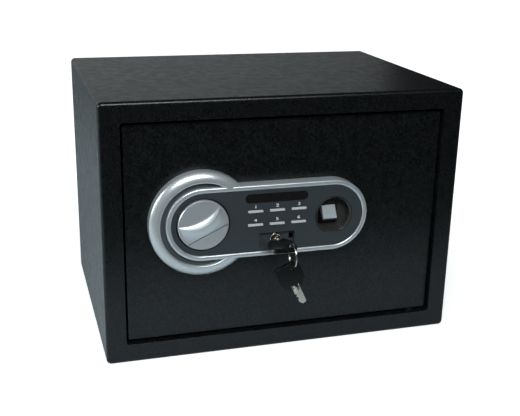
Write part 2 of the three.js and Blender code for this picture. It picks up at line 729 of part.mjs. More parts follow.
// Spindle, its bush in the door, its retaining clip and the drive cam with its pin
const camFront = doorBack + camOffDoor;
const camSheet = 3;
const carrierBack = carrierFront + carrierSheet;
const spindleBack = camFront + camSheet + 1;
const drivePinOffset = boltTravel / Math.SQRT2;
const bushInner = spindleRadius + 0.1;
add('knob_spindle', rodY(spindleRadius, spindleFront, spindleBack, knobX, knobZ), zincSteel);
const bushFlange = 1.5;
const bushBack = doorBack + bushFlange;
const bushBody = union(rodY(spindleHole - 0.1, doorFace, doorBack + 0.5, knobX, knobZ),
  rodY(spindleHole + 3, doorBack, bushBack, knobX, knobZ));
add('spindle_bush', cut(bushBody, rodY(bushInner, doorFace - 1, bushBack + 1, knobX, knobZ)), nylon);
const clipHalf = spindleRadius + 2.5;
const clipNose = spindleRadius + 1.5;
const clipShape = polygon([
  [-clipHalf, -2], [-clipHalf, clipHalf], [clipHalf, clipHalf], [clipHalf, -2], [3, -clipNose], [-3, -clipNose],
].map(([x, z]) => [knobX + x, knobZ + z]));
const clipFront = bushBack + runClearance;
add('spindle_clip', cut(frontPlate(clipShape, clipFront, clipFront + 1),
  rodY(spindleRadius + 0.02, doorBack, clipFront + 2, knobX, knobZ)), zincSteel);
const pinX = knobX + drivePinOffset / Math.SQRT2;
const pinZ = knobZ - drivePinOffset / Math.SQRT2;
const camHub = rodY(spindleRadius + 4, camFront, camFront + camSheet, knobX, knobZ);
const camLobe = rodY(drivePinRadius + 3, camFront, camFront + camSheet, pinX, pinZ);
const web = Math.SQRT1_2;
const camWeb = frontPlate(polygon([
  [knobX - web * (spindleRadius + 3), knobZ - web * (spindleRadius + 3)],
  [pinX - web * (drivePinRadius + 2), pinZ - web * (drivePinRadius + 2)],
  [pinX + web * (drivePinRadius + 2), pinZ + web * (drivePinRadius + 2)],
  [knobX + web * (spindleRadius + 3), knobZ + web * (spindleRadius + 3)],
]), camFront, camFront + camSheet);
add('drive_cam', cut(union(camHub, camLobe, camWeb,
  rodY(drivePinRadius, camFront + 1, carrierBack + 1, pinX, pinZ)),
rodY(spindleRadius + 0.02, camFront - 1, spindleBack + 1, knobX, knobZ)), zincSteel);

// Bolt guide: a folded bracket welded to the door, with a hole for each live bolt
const guideLeft = coverLeft + coverSheet + 0.6;
const guideSheet = 2.5;
const guideFoot = 20;
const guideOver = boltRadius + 4;
const boltSides = 28;
const guideLow = boltZ[1] - guideOver;
const guideHigh = boltZ[0] + guideOver;
let guide = union(
  box(guideLeft, guideLeft + guideFoot, doorBack, doorBack + sheet, guideLow, guideHigh),
  box(guideLeft, guideLeft + guideSheet, doorBack, carrierFront + boltRadius + 3, guideLow, guideHigh));
const guideHole = boltRadius + 0.25;
for (const z of boltZ) {
  guide = cut(guide, rodX(guideHole, guideLeft - 1, guideLeft + guideSheet + 1, carrierFront, z, boltSides));
}
add('bolt_guide', guide, zincSteel);

// Live bolts: turned bars with a chamfered nose and a half-round tail that seats on the carrier
const boltNose = doorLeft + 1;
const boltEnd = boltNose + boltLength;
const tailEnd = boltEnd + boltTail;
['upper', 'lower'].forEach((name, i) => {
  const nose = 1.5;
  const profile = [
    [0, tailEnd], [boltRadius, tailEnd], [boltRadius, boltNose + nose], [boltRadius - nose, boltNose],
    [0, boltNose],
  ].map(([r, x]) => new THREE.Vector2(r, -x));
  const turned = new THREE.LatheGeometry(profile, boltSides).rotateZ(Math.PI / 2)
    .translate(0, carrierFront, boltZ[i]);
  const half = box(boltEnd, tailEnd + 1, carrierFront, carrierFront + 2 * boltRadius,
    boltZ[i] - 2 * boltRadius, boltZ[i] + 2 * boltRadius);
  add(`live_bolt_${name}`, cut(solid(turned), half), zincSteel);
});

// Bolt carrier: a flat plate with a drive slot, two guide slots and the blocker's two notches
const blockerX = knobX + blockerFromKnob;
const notchSlack = 0.4;
const notchHalf = blockerRadius + notchSlack;
const armBottom = knobZ - armDrop;
const armTop = armBottom + armHeight;
const armEnd = blockerX + boltTravel + notchHalf + 6;
const studEndGap = 0.4;
const studSideGap = 0.25;
const slotEdge = 3.6;
const barLeft = boltEnd + 1;
const studX = barLeft + slotEdge + studEndGap + studRadius;
const barRight = studX + studRadius + studEndGap + boltTravel + slotEdge;
const carrierOver = boltRadius + 2;
const carrierOutline = roundedRect(barLeft, barRight, boltZ[1] - carrierOver, boltZ[0] + carrierOver, 3);
const armOutline = roundedRect(barRight - carrierOver, armEnd, armBottom, armTop, 3);
let carrier = union(frontPlate(carrierOutline, carrierFront, carrierBack),
  frontPlate(armOutline, carrierFront, carrierBack));
const pinSlack = 0.45;
const driveSlotHalf = drivePinRadius + pinSlack;
const driveSlot = roundedRect(pinX - driveSlotHalf, pinX + driveSlotHalf,
  knobZ - drivePinOffset - driveSlotHalf, pinZ + driveSlotHalf, 2);
carrier = cut(carrier, frontPlate(driveSlot, carrierFront - 1, carrierBack + 1));
for (const x of [blockerX, blockerX + boltTravel]) {
  carrier = cut(carrier, box(x - notchHalf, x + notchHalf, carrierFront - 1, carrierBack + 1,
    armBottom - 1, armBottom + blockerTravel + 1.5));
}
const betweenBolts = (boltZ[0] + boltZ[1]) / 2;
const studPlaces = [0.2, -0.2].map((share) => betweenBolts + share * (boltZ[0] - boltZ[1]));
for (const z of studPlaces) {
  const slot = roundedRect(studX - studRadius - studEndGap, studX + studRadius + studEndGap + boltTravel,
    z - studRadius - studSideGap, z + studRadius + studSideGap, studRadius);
  carrier = cut(carrier, frontPlate(slot, carrierFront - 1, carrierBack + 1));
}
add('bolt_carrier', carrier, zincSteel);

// Shoulder studs on the door that the carrier slides on
studPlaces.forEach((z, i) => {
  const stud = union(rodY(studRadius + 2, doorBack, carrierFront - runClearance, studX, z),
    rodY(studRadius, doorBack + 1, carrierBack + 1, studX, z),
    rodY(studRadius + 2.5, carrierBack + runClearance, carrierBack + 2.5, studX, z));
  add(`carrier_stud_${i === 0 ? 'upper' : 'lower'}`, stud, zincSteel);
});

// Blocking solenoid under the carrier's arm: its plunger rises into a notch and locks the bolts
const blockerY = carrierFront + carrierSheet / 2;
const blockerTop = armBottom - 0.6;
const coilRadius = solenoidHalf - 1.5;
const frameSheet = 1.5;
const frameFoot = 6;
const frameTop = blockerTop - 15;
const frameBottom = frameTop - coilLength - 2 * frameSheet;
const frameLeft = blockerX - solenoidHalf;
const frameRight = blockerX + solenoidHalf;
const frameY = blockerY - solenoidHalf;
const frameBack = blockerY + solenoidHalf;
let frame = union(
  box(frameLeft, frameRight, frameY, frameBack, frameTop - frameSheet, frameTop),
  box(frameLeft, frameRight, frameY, frameBack, frameBottom, frameBottom + frameSheet),
  box(frameLeft, frameRight, frameY, frameY + frameSheet, frameBottom, frameTop));
for (const side of [-1, 1]) {
  const near = blockerX + side * (solenoidHalf - frameSheet);
  const edge = blockerX + side * solenoidHalf;
  const foot = blockerX + side * (solenoidHalf + frameFoot);
  frame = union(frame,
    box(Math.min(near, edge), Math.max(near, edge), doorBack, frameY + 1, frameBottom, frameTop),
    box(Math.min(near, foot), Math.max(near, foot), doorBack, doorBack + frameSheet, frameBottom, frameTop));
}
frame = cut(frame, rodZ(blockerRadius + 0.2, frameBottom - 1, frameTop + 1, blockerX, blockerY));
add('solenoid_frame', frame, zincSteel);
const coil = cut(rodZ(coilRadius, frameBottom + frameSheet, frameTop - frameSheet, blockerX, blockerY, 24),
  rodZ(blockerRadius + 0.2, frameBottom, frameTop, blockerX, blockerY));
add('solenoid_coil', coil, copper);
const collarRadius = 6.5;
const collarZ = frameTop + 8;
add('blocker_plunger', union(rodZ(blockerRadius, frameBottom - 1, blockerTop, blockerX, blockerY),
  rodZ(collarRadius, collarZ, collarZ + 1.5, blockerX, blockerY)), zincSteel);

// Return spring between the solenoid and the plunger's collar: one wound wire
const springWire = 0.45;
const springRadius = blockerRadius + 1.3;
const springTurns = 5;
const springLow = frameTop + springWire + 0.05;
const springHigh = collarZ - springWire - 0.05;
const turnSteps = 8;
const wireSides = 5;
class Helix extends THREE.Curve {
  getPoint(t, target = new THREE.Vector3()) {
    const angle = 2 * Math.PI * springTurns * t;
    return target.set(blockerX + springRadius * Math.cos(angle), blockerY + springRadius * Math.sin(angle),
      springLow + (springHigh - springLow) * t);
  }
}
const wirePath = new Helix();
const wireShape = polygon(Array.from({ length: wireSides }, (_, i) => {
  const angle = 2 * Math.PI * i / wireSides;
  return [springWire * Math.cos(angle), springWire * Math.sin(angle)];
}));
add('blocker_spring', solid(new THREE.ExtrudeGeometry(wireShape, {
  steps: turnSteps * springTurns, extrudePath: wirePath, bevelEnabled: false,
})), zincSteel);
const wirePoints = wirePath.getPoints(turnSteps * springTurns);
let springGap = Infinity;
for (let i = 0; i < wirePoints.length; i++) {
  for (let j = i + turnSteps / 2; j < wirePoints.length; j++) {
    springGap = Math.min(springGap, wirePoints[i].distanceTo(wirePoints[j]) - 2 * springWire);
  }
}
console.log(`blocker_spring: least gap between its turns ${springGap.toFixed(2)} mm`);

// Emergency lock: a threaded barrel through the panel and door, its nut, the plug and the cam
const barrelFace = faceY + 2;
const plugSet = 1.4;
const barrelBack = doorBack + 14;
const camGap = 0.3;
const lockCamFront = barrelBack + camGap;
const lockCamSheet = 2;
const keywayWidth = bladeWidth + 0.5;
const keywayThick = bladeThickness + 0.5;
const keywayEnd = barrelFace + bladeLength - keyOut + 2;
const lockSides = 28;
const barrelBody = turnedY([
  [0, barrelFace], [barrelRadius - 0.6, barrelFace], [barrelRadius, barrelFace + 0.6],
  [barrelRadius, barrelBack], [0, barrelBack],
], lockX, lockZ, lockSides);
add('lock_barrel', cut(barrelBody,
  rodY(plugRadius + 0.15, barrelFace - 1, barrelBack + 1, lockX, lockZ, lockSides)), nickel);
const nutSides = 6;
const nutSheet = 3;
add('lock_nut', cut(rodY(barrelRadius + 4, doorBack, doorBack + nutSheet, lockX, lockZ, nutSides),
  rodY(barrelHole, doorBack - 1, doorBack + nutSheet + 1, lockX, lockZ, lockSides)), zincSteel);
const squareHalf = 2.5;
const plugBody = union(rodY(plugRadius, barrelFace + plugSet, lockCamFront + 0.5, lockX, lockZ, lockSides),
  box(lockX - squareHalf, lockX + squareHalf, lockCamFront, lockCamFront + lockCamSheet + 2,
    lockZ - squareHalf, lockZ + squareHalf));
add('lock_plug', cut(plugBody, box(lockX - keywayWidth / 2, lockX + keywayWidth / 2, barrelFace - 1, keywayEnd,
  lockZ - keywayThick / 2, lockZ + keywayThick / 2)), nickel);
// The cam's tip rests just above the plunger's collar and holds it down in the open position
const camTipX = blockerX + collarRadius - 1;
const camTipZ = collarZ + 1.5 + runClearance;
const camHubRadius = 6;
const camArm = polygon([
  [lockX, lockZ + camHubRadius], [lockX, lockZ - camHubRadius], [camTipX + 8, camTipZ],
  [camTipX - 4, camTipZ], [camTipX - 4, camTipZ + 5],
]);
const camBody = union(rodY(camHubRadius, lockCamFront + 0.5, lockCamFront + lockCamSheet, lockX, lockZ, 24),
  frontPlate(camArm, lockCamFront + 0.5, lockCamFront + lockCamSheet));
const camSquare = squareHalf + 0.05;
add('lock_cam', cut(camBody, box(lockX - camSquare, lockX + camSquare, lockCamFront,
  lockCamFront + lockCamSheet + 1, lockZ - camSquare, lockZ + camSquare)), zincSteel);

// Keys, drawn flat with the blade along +Y from the bow, then placed: one in the lock, one on the ring
const bowHalf = bowWidth / 2;
const bowNeck = 0.45 * bowHalf;
const tangLength = 14;
const neckShown = 5;
const neckLength = 8;
const neckRadius = 3.3;
const neckFlat = 0.62;
const tangSlack = 0.1;
function bowShape() {
  return polygon([
    [-bowHalf, -bowLength + 1.5], [-bowHalf + 1.5, -bowLength], [bowHalf - 4, -bowLength],
    [bowHalf, -bowLength + 4], [bowHalf, -8.5], [bowNeck, 0], [-bowNeck, 0], [-bowHalf, -8.5],
  ]);
}
function keyBow() {
  const hole = rodZ(keyholeRadius, -bowThickness, bowThickness, keyholeOffset, -bowLength + keyholeInset, 20);
  const half = bladeWidth / 2 + tangSlack;
  const thick = bladeThickness / 2 + tangSlack;
  const slot = box(-half, half, -tangLength - tangSlack, 1, -thick, thick);
  const window = box(-half, half, -neckShown, 1, -bowThickness, bowThickness);
  return cut(topPlate(bowShape(), -bowThickness / 2, bowThickness / 2), hole, slot, window);
}
function keyBlade() {
  const half = bladeWidth / 2;
  const teeth = [[-half, 1], [-half, 4.5], [-half + 1.5, 6], [-half + 0.4, 7.6], [-half + 2.1, 9.4],
    [-half + 0.8, 11], [-half + 0.8, bladeLength - 3.4], [-0.4, bladeLength], [half - 1.5, bladeLength],
    [half, bladeLength - 1.6]];
  const blade = polygon([[half, -tangLength], [-half, -tangLength], ...teeth].reverse());
  const thick = bladeThickness / 2;
  const round = new THREE.CylinderGeometry(neckRadius, neckRadius, neckLength, rodSides);
  const neck = solid(round.scale(1, 1, neckFlat).translate(0, neckLength / 2 + runClearance - neckShown, 0));
  return cut(union(topPlate(blade, -thick, thick), neck),
    box(1, 2.2, -1.5, bladeLength + 1, thick - 0.5, thick + 1),
    box(1, 2.2, -1.5, bladeLength + 1, -thick - 1, 0.5 - thick));
}
const bowEndY = barrelFace - keyOut;
function keyPlace(quaternion, x, y, z) {
  const place = new THREE.Group();
  place.quaternion.copy(quaternion);
  place.position.set(x, y, z);
  group.add(place);
  return place;
}
const keyInLock = keyPlace(new THREE.Quaternion(), lockX, bowEndY, lockZ);
add('key_bow', keyBow(), blackPlastic, keyInLock);
add('key_blade', keyBlade(), nickel, keyInLock);

// Key ring: hangs through the bow's corner hole and out past the end of the bow
const holeX = lockX + keyholeOffset;
const holeY = bowEndY - bowLength + keyholeInset;
const ringDrop = 3.8;
const ringX = holeX;
const ringZ = lockZ - ringDrop;
const wireHalf = bowThickness / 2;
const wireAtTop = Math.sqrt(ringCentreRadius ** 2 - (ringDrop + wireHalf) ** 2);
const wireAtFoot = Math.sqrt(ringCentreRadius ** 2 - (ringDrop - wireHalf) ** 2);
const ringY = holeY - (wireAtTop + wireAtFoot) / 2;
const ringGeometry = new THREE.TorusGeometry(ringCentreRadius, ringWire, 8, 32).rotateY(Math.PI / 2)
  .translate(ringX, ringY, ringZ);
add('key_ring', solid(ringGeometry), nickel);

// Spare key: its corner hole hangs on the lowest point of the ring, its blade down and to the right
const hang = keyholeRadius - ringWire - 0.6;
const spareHoleZ = ringZ - ringCentreRadius - hang;
const spareAngle = THREE.MathUtils.degToRad(spareTilt);
const spareTurn = new THREE.Quaternion().setFromRotationMatrix(new THREE.Matrix4().makeBasis(
  new THREE.Vector3(Math.cos(spareAngle), 0, Math.sin(spareAngle)),
  new THREE.Vector3(Math.sin(spareAngle), 0, -Math.cos(spareAngle)),
  new THREE.Vector3(0, 1, 0)));
const spareHole = new THREE.Vector3(keyholeOffset, -bowLength + keyholeInset, 0).applyQuaternion(spareTurn);
const spare = keyPlace(spareTurn, ringX - spareHole.x, ringY - spareHole.y, spareHoleZ - spareHole.z);
add('spare_key_bow', keyBow(), blackPlastic, spare);
add('spare_key_blade', keyBlade(), nickel, spare);

// Main board on four stand-offs, with the red programming button that reaches through the cover
const mainLeft = lockX + boardFromLock;
const mainRight = coverRight - boardFromHingeSide;
const mainBottom = knobZ - boardBelowKnob;
const mainTop = mainBottom + boardHeight;
const mainFront = doorBack + boardOffDoor;
const mainBack = mainFront + boardSheet;
let mainBoard = frontPlate(roundedRect(mainLeft, mainRight, mainBottom, mainTop, 2), mainFront, mainBack);
const standoffInset = 4;
const standoffRadius = 2.5;
for (const x of [mainLeft + standoffInset, mainRight - standoffInset]) {
  for (const z of [mainBottom + standoffInset, mainTop - standoffInset]) {
    mainBoard = union(mainBoard, rodY(standoffRadius, doorBack, mainFront + 0.5, x, z, 12));
  }
}
const chipX = (mainLeft + mainRight) / 2;
const chipTop = mainTop - 10;
const chipBack = mainBack + 2;
const coilCanRadius = 6;
const coilCanBack = mainBack + 7;
const capacitorRadius = 4;
const capacitorBack = mainBack + 11;
const resetX = chipX + 4;
const resetZ = mainBottom + 16;
const switchBack = mainBack + switchHeight;
const switchHalf = 4;
mainBoard = union(mainBoard,
  box(chipX - chipWidth / 2, chipX + chipWidth / 2, mainBack - 0.5, chipBack, chipTop - chipHeight, chipTop),
  rodY(coilCanRadius, mainBack - 0.5, coilCanBack, mainRight - 2 * coilCanRadius, chipTop - coilCanRadius, 24),
  rodY(capacitorRadius, mainBack - 0.5, capacitorBack, mainLeft + 2 * capacitorRadius, chipTop - 2, 24),
  box(resetX - switchHalf, resetX + switchHalf, mainBack - 0.5, switchBack,
    resetZ - switchHalf, resetZ + switchHalf));
add('main_board', mainBoard, boardGreen);
const resetTravel = 1.2;
const resetRadius = 3.5;
const coverBack = doorBack + coverDepth;
const resetFoot = switchBack + resetTravel + runClearance;
add('reset_button', union(rodY(resetRadius, resetFoot, coverBack + 1.8, resetX, resetZ),
  rodY(resetRadius + 1.5, coverInside - resetTravel - 1.3, coverInside - runClearance, resetX, resetZ)),
redPlastic);

// Battery box: four cells side by side in a tray that sits in the cover's window
const cellPitch = 2 * cellRadius + 0.5;
const trayWall = 1.6;
const trayRight = coverRight - trayFromHingeSide;
const trayLeft = trayRight - 4 * cellPitch - 2 * trayWall - 0.6;
const trayBottom = coverBottom + trayFromBottom;
const cellEndGap = 2.6;
const trayTop = trayBottom + cellLength + 2 * trayWall + 2 * cellEndGap;
const trayDepth = 2 * cellRadius + trayWall + 1;
const trayBack = coverBack;
const trayFront = trayBack - trayDepth;
const trayInside = roundedRect(trayLeft + trayWall, trayRight - trayWall, trayBottom + trayWall,
  trayTop - trayWall, 1);
let tray = cut(frontPlate(roundedRect(trayLeft, trayRight, trayBottom, trayTop, 2), trayFront, trayBack),
  frontPlate(trayInside, trayFront + trayWall, trayBack + 1));
const legRadius = 3;
for (const x of [trayLeft + legRadius + 1, trayRight - legRadius - 1]) {
  for (const z of [trayBottom + 2 * legRadius, trayTop - 2 * legRadius]) {
    tray = union(tray, rodY(legRadius, doorBack, trayFront + 0.5, x, z, 12));
  }
}
add('battery_box', tray, blackPlastic);
for (let i = 0; i < 4; i++) {
  const x = trayLeft + trayWall + 0.3 + cellPitch * (i + 0.5);
  const up = i % 2 === 0 ? 1 : -1;
  const middle = (trayBottom + trayTop) / 2;
  const y = trayFront + trayWall + cellRadius + 0.15;
  const half = cellLength / 2;
  const cap = middle + up * half;
  add(`cell_${i + 1}`, union(rodZ(cellRadius, middle - half + 1, middle + half - 1, x, y),
    rodZ(2.7, Math.min(cap, cap - up * 3), Math.max(cap, cap - up * 3), x, y, 8),
    rodZ(4.5, middle - half + 0.4, middle + half - 0.4, x, y, 8)), cellWrap);
}
const lidFront = coverBack + 0.1;
const lidBack = lidFront + lidSheet;
const lidShape = roundedRect(trayLeft - lidEdge, trayRight + lidEdge, trayBottom - lidEdge,
  trayTop + lidEdge, lidEdge);
let lid = frontPlate(lidShape, lidFront, lidBack);
const clipLength = 12;
const clipInset = 14;
const clipSheet = 1.5;
for (const z of [trayBottom + trayWall + 0.3, trayTop - trayWall - 0.3 - clipSheet]) {
  for (const x of [trayLeft + clipInset, trayRight - clipInset - clipLength]) {
    lid = union(lid, box(x, x + clipLength, coverBack - lidClipReach, lidFront + 0.5, z, z + clipSheet));
  }
}
const lidMiddle = (trayLeft + trayRight) / 2;
const gripHalf = 9;
const gripPitch = 3;
const gripFromTop = 8;
const gripGroove = 1.2;
for (let i = 0; i < 3; i++) {
  const z = trayTop - gripFromTop - gripPitch * i;
  lid = cut(lid, box(lidMiddle - gripHalf, lidMiddle + gripHalf, lidBack - 0.8, lidBack + 1,
    z - gripGroove / 2, z + gripGroove / 2));
}
add('battery_lid', lid, blackPlastic);

// Inner cover: a folded sheet box over the mechanism, open to the door
const coverRim = 3;
let cover = cut(
  frontPlate(roundedRect(coverLeft, coverRight, coverBottom, coverTop, coverRim), doorBack, coverBack),
  frontPlate(roundedRect(coverLeft + coverSheet, coverRight - coverSheet, coverBottom + coverSheet,
    coverTop - coverSheet, coverRim - coverSheet), doorBack - 1, coverInside));
for (const z of boltZ) {
  const slotHalf = boltRadius + 0.6;
  cover = cut(cover, rodX(slotHalf, coverLeft - 1, coverLeft + coverSheet + 0.5, carrierFront, z, boltSides),
    box(coverLeft - 1, coverLeft + coverSheet + 0.5, doorBack - 1, carrierFront, z - slotHalf, z + slotHalf));
}
cover = cut(cover, rodY(resetRadius + 0.5, coverInside - 1, coverBack + 1, resetX, resetZ),
  frontPlate(roundedRect(trayLeft - fitGap, trayRight + fitGap, trayBottom - fitGap, trayTop + fitGap, 2),
    coverInside - 1, coverBack + 1));
for (const [x, z] of pillarPlaces) cover = cut(cover, rodY(2, coverInside - 1, coverBack + 1, x, z, 12));
add('inner_cover', cover, blackCoat);

export default group;
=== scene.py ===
"""The looks of a small biometric safe: powder-coated steel, a silver and charcoal lock panel, nickel keys."""

import json
import math

import bmesh
import bpy
from mathutils import Matrix, Vector


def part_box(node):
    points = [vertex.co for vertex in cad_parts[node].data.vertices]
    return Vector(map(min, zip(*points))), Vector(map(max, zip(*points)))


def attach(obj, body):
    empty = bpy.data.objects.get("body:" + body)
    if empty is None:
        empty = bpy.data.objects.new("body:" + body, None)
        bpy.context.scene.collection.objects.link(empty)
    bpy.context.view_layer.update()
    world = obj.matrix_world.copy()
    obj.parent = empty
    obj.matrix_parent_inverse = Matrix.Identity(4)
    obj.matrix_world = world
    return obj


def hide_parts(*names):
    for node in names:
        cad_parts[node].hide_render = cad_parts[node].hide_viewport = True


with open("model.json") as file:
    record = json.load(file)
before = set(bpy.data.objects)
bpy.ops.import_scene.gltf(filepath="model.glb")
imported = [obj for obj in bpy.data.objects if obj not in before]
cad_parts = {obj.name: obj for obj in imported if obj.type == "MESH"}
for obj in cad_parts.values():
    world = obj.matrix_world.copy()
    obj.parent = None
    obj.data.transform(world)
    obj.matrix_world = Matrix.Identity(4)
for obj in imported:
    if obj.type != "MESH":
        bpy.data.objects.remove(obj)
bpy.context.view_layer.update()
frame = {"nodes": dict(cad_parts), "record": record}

mm = 0.001

# Cabinet body and back panel: 2 mm steel sheet, folded, welded and ground at the corners, then sprayed with
# powder and baked. The front folds are rounded, and the flange's inner edge is broken by the press.
BODY_BREAK = 1.2 * mm
COAT_BLACK = "#08090a"
# The lighter colour painted on the peel's high points, as painted glints
COAT_PAINTED_GLINT = "#191c1d"
COAT_GRAIN = 1.6 * mm
COAT_DEPTH = 0.08 * mm
COAT_SWELL = 9 * mm
COAT_GLOSSY, COAT_SATIN = 0.26, 0.33
# A painted glint starts to show where the noise passes the first value and is full at the second
GLINT_FROM, GLINT_FULL = 0.48, 0.62
# Nearly all of a noise lies between these two
NOISE_LOW, NOISE_HIGH = 0.3, 0.7
# The numbers of the colour sockets of a Mix node, which share their labels with its other kinds
MIX_A, MIX_B, MIX_RESULT = 6, 7, 2
# Points closer than this are one, faces flatter than this are joined, edges sharper than this are broken
SAME_POINT = 0.002 * mm
SAME_FLAT = math.radians(0.6)
HARD_EDGE = math.radians(38)


def linear(hex_code):
    """An sRGB hex colour as linear RGBA."""
    channels = [int(hex_code[i : i + 2], 16) / 255 for i in (1, 3, 5)]
    return [c / 12.92 if c <= 0.04045 else ((c + 0.055) / 1.055) ** 2.4 for c in channels] + [1.0]


def add_node(tree, kind, settings=None, inputs=None, links=None):
    """Adds a node, sets its properties and sockets, and links the sockets in links, each by label or number."""
    node = tree.nodes.new(kind)
    for name, value in (settings or {}).items():
        setattr(node, name, value)
    for name, value in (inputs or {}).items():
        node.inputs[name].default_value = value
    for name, source in (links or {}).items():
        tree.links.new(source, node.inputs[name])
    return node


def new_material(name, colour, roughness, metallic=0.0, **sockets):
    """A material with a Principled BSDF, returned with its tree and shader."""
    material = bpy.data.materials.new(name)
    material.use_nodes = True
    shader = material.node_tree.nodes["Principled BSDF"]
    values = {"Base Color": linear(colour), "Roughness": roughness, "Metallic": metallic}
    values.update({key.replace("_", " "): value for key, value in sockets.items()})
    for socket, value in values.items():
        shader.inputs[socket].default_value = value
    return material, material.node_tree, shader


def grain(tree, shader, size, depth, detail=2.0, gloss_spread=0.12):
    """Raises a fine grain of the given size and depth, in metres, and lets the gloss vary by a share with it."""
    place = add_node(tree, "ShaderNodeTexCoord")
    noise = add_node(
        tree,
        "ShaderNodeTexNoise",
        inputs={"Scale": 1 / size, "Detail": detail, "Roughness": 0.55},
        links={"Vector": place.outputs["Object"]},
    )
    bump = add_node(
        tree,
        "ShaderNodeBump",
        inputs={"Strength": 1.0, "Distance": depth},
        links={"Height": noise.outputs["Fac"]},
    )
    tree.links.new(bump.outputs["Normal"], shader.inputs["Normal"])
    if gloss_spread:
        rough = shader.inputs["Roughness"].default_value
        vary_gloss(tree, shader, noise, (1 - gloss_spread) * rough, (1 + gloss_spread) * rough)
    return place, noise


def vary_gloss(tree, shader, noise, glossy, matt):
    """Lets a shader's roughness run between two values with a noise."""
    varied = add_node(
        tree,
        "ShaderNodeMapRange",
        inputs={"From Min": NOISE_LOW, "From Max": NOISE_HIGH, "To Min": glossy, "To Max": matt},
        links={"Value": noise.outputs["Fac"]},
    )
    tree.links.new(varied.outputs["Result"], shader.inputs["Roughness"])


def finished(node, material, edge=0.0, segments=2, smooth=32):
    """A merged copy of a CAD node with its flat faces joined, its hard edges broken and its rounds smoothed."""
    piece = bpy.data.objects.new(node + "_finished", frame["nodes"][node].data.copy())
    piece.data.materials.clear()
    bpy.context.scene.collection.objects.link(piece)
    mesh = bmesh.new()
    mesh.from_mesh(piece.data)
    bmesh.ops.remove_doubles(mesh, verts=mesh.verts, dist=SAME_POINT)
    bmesh.ops.dissolve_limit(mesh, angle_limit=SAME_FLAT, verts=mesh.verts, edges=mesh.edges)
    mesh.to_mesh(piece.data)
    mesh.free()
    if edge:
        bevel = piece.modifiers.new("Edge", "BEVEL")
        bevel.width = edge
        bevel.segments = segments
        bevel.limit_method = "ANGLE"
        bevel.angle_limit = HARD_EDGE
        settle(piece)
    piece.data.materials.append(material)
    piece.data.shade_smooth()
    piece.data.set_sharp_from_angle(angle=math.radians(smooth))
    # Weighted by area, the flats stay flat and only the rounds and broken edges turn the light
    weighted = piece.modifiers.new("Flats", "WEIGHTED_NORMAL")
    weighted.keep_sharp = True
    settle(piece)
    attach(piece, body_of[node])
    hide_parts(node)
    return piece


def settle(piece):
    """Turns a piece's modifiers into plain mesh."""
    settled = bpy.data.meshes.new_from_object(piece.evaluated_get(bpy.context.evaluated_depsgraph_get()))
    piece.modifiers.clear()
    piece.data = settled


body_of = {node: body for body, nodes in frame["record"]["behaviour"]["bodies"].items() for node in nodes}

# Baked polyester powder: black, low satin gloss, with the fine orange peel that the powder leaves.
# The peel sparkles where light grazes the folds. On the flats, a lighter fleck painted on its high points stands in
# for that sparkle as a painted glint. It is drawn a little coarser than the real 1 mm, so that it shows at the size
# of the picture.
coat, coat_tree, coat_shader = new_material("Powder_coat", COAT_BLACK, roughness=COAT_SATIN, IOR=1.46)
place, peel = grain(coat_tree, coat_shader, size=COAT_GRAIN, depth=COAT_DEPTH, detail=1.0, gloss_spread=0)
# The peel's high points get the lighter colour, a painted glint standing in for the sparkle of light on them
painted_glint = add_node(
    coat_tree,
    "ShaderNodeMapRange",
    inputs={"From Min": GLINT_FROM, "From Max": GLINT_FULL},
    links={"Value": peel.outputs["Fac"]},
)
glint_coloured = add_node(
    coat_tree,
    "ShaderNodeMix",
    settings={"data_type": "RGBA"},
    inputs={MIX_A: linear(COAT_BLACK), MIX_B: linear(COAT_PAINTED_GLINT)},
    links={"Factor": painted_glint.outputs["Result"]},
)
coat_tree.links.new(glint_coloured.outputs[MIX_RESULT], coat_shader.inputs["Base Color"])
swell = add_node(
    coat_tree,
    "ShaderNodeTexNoise",
    inputs={"Scale": 1 / COAT_SWELL, "Detail": 1.0},
    links={"Vector": place.outputs["Object"]},
)
vary_gloss(coat_tree, coat_shader, swell, COAT_GLOSSY, COAT_SATIN)
finished("body_shell", coat, edge=BODY_BREAK, segments=3)
finished("back_panel", coat)

# Floor mat: needled polyester felt, 3 mm, cut with rounded corners and laid loose on the floor.
# Felt scatters light evenly, with a faint fleck from its mixed fibres.
felt, felt_tree, felt_shader = new_material(
    "Needled_felt", "#2a2c2f", roughness=0.95, Sheen_Weight=0.25, Sheen_Roughness=0.6
)
grain(felt_tree, felt_shader, size=1.1 * mm, depth=0.4 * mm, detail=3.0)
finished("floor_mat", felt, edge=0.5 * mm)

# Hinge: turned steel pins on knuckles welded to the door, in bushes welded behind the flange, with a black
# nylon washer that carries the door. The steel is zinc plated and passivated after welding.
ZINC_CLOUD = 5 * mm
ZINC_GLOSSY, ZINC_MATT = 0.24, 0.4
# Zinc plate is bluish white and slightly cloudy, from the crystals of the plating.
zinc, zinc_tree, zinc_shader = new_material("Bright_zinc_plate", "#b9bdbf", roughness=0.3, metallic=1.0)
zinc_place = add_node(zinc_tree, "ShaderNodeTexCoord")
cloud = add_node(
    zinc_tree,
    "ShaderNodeTexNoise",
    inputs={"Scale": 1 / ZINC_CLOUD, "Detail": 4.0},
    links={"Vector": zinc_place.outputs["Object"]},
)
vary_gloss(zinc_tree, zinc_shader, cloud, ZINC_GLOSSY, ZINC_MATT)
# Turned nylon, dyed black, is dull and faintly waxy.
black_nylon, black_nylon_tree, black_nylon_shader = new_material("Black_nylon", "#131415", roughness=0.5)
grain(black_nylon_tree, black_nylon_shader, size=0.5 * mm, depth=0.02 * mm)
for node in ("hinge_bush_top", "hinge_bush_bottom", "hinge_knuckle_top", "hinge_knuckle_bottom"):
    finished(node, zinc, edge=0.3 * mm)
finished("hinge_washer", black_nylon)

# Door: a 4 mm laser-cut steel plate with studs welded to its back, coated like the cabinet. It hangs on the
# two knuckles and closes a little way inside the opening.
finished("door_plate", coat, edge=0.4 * mm)

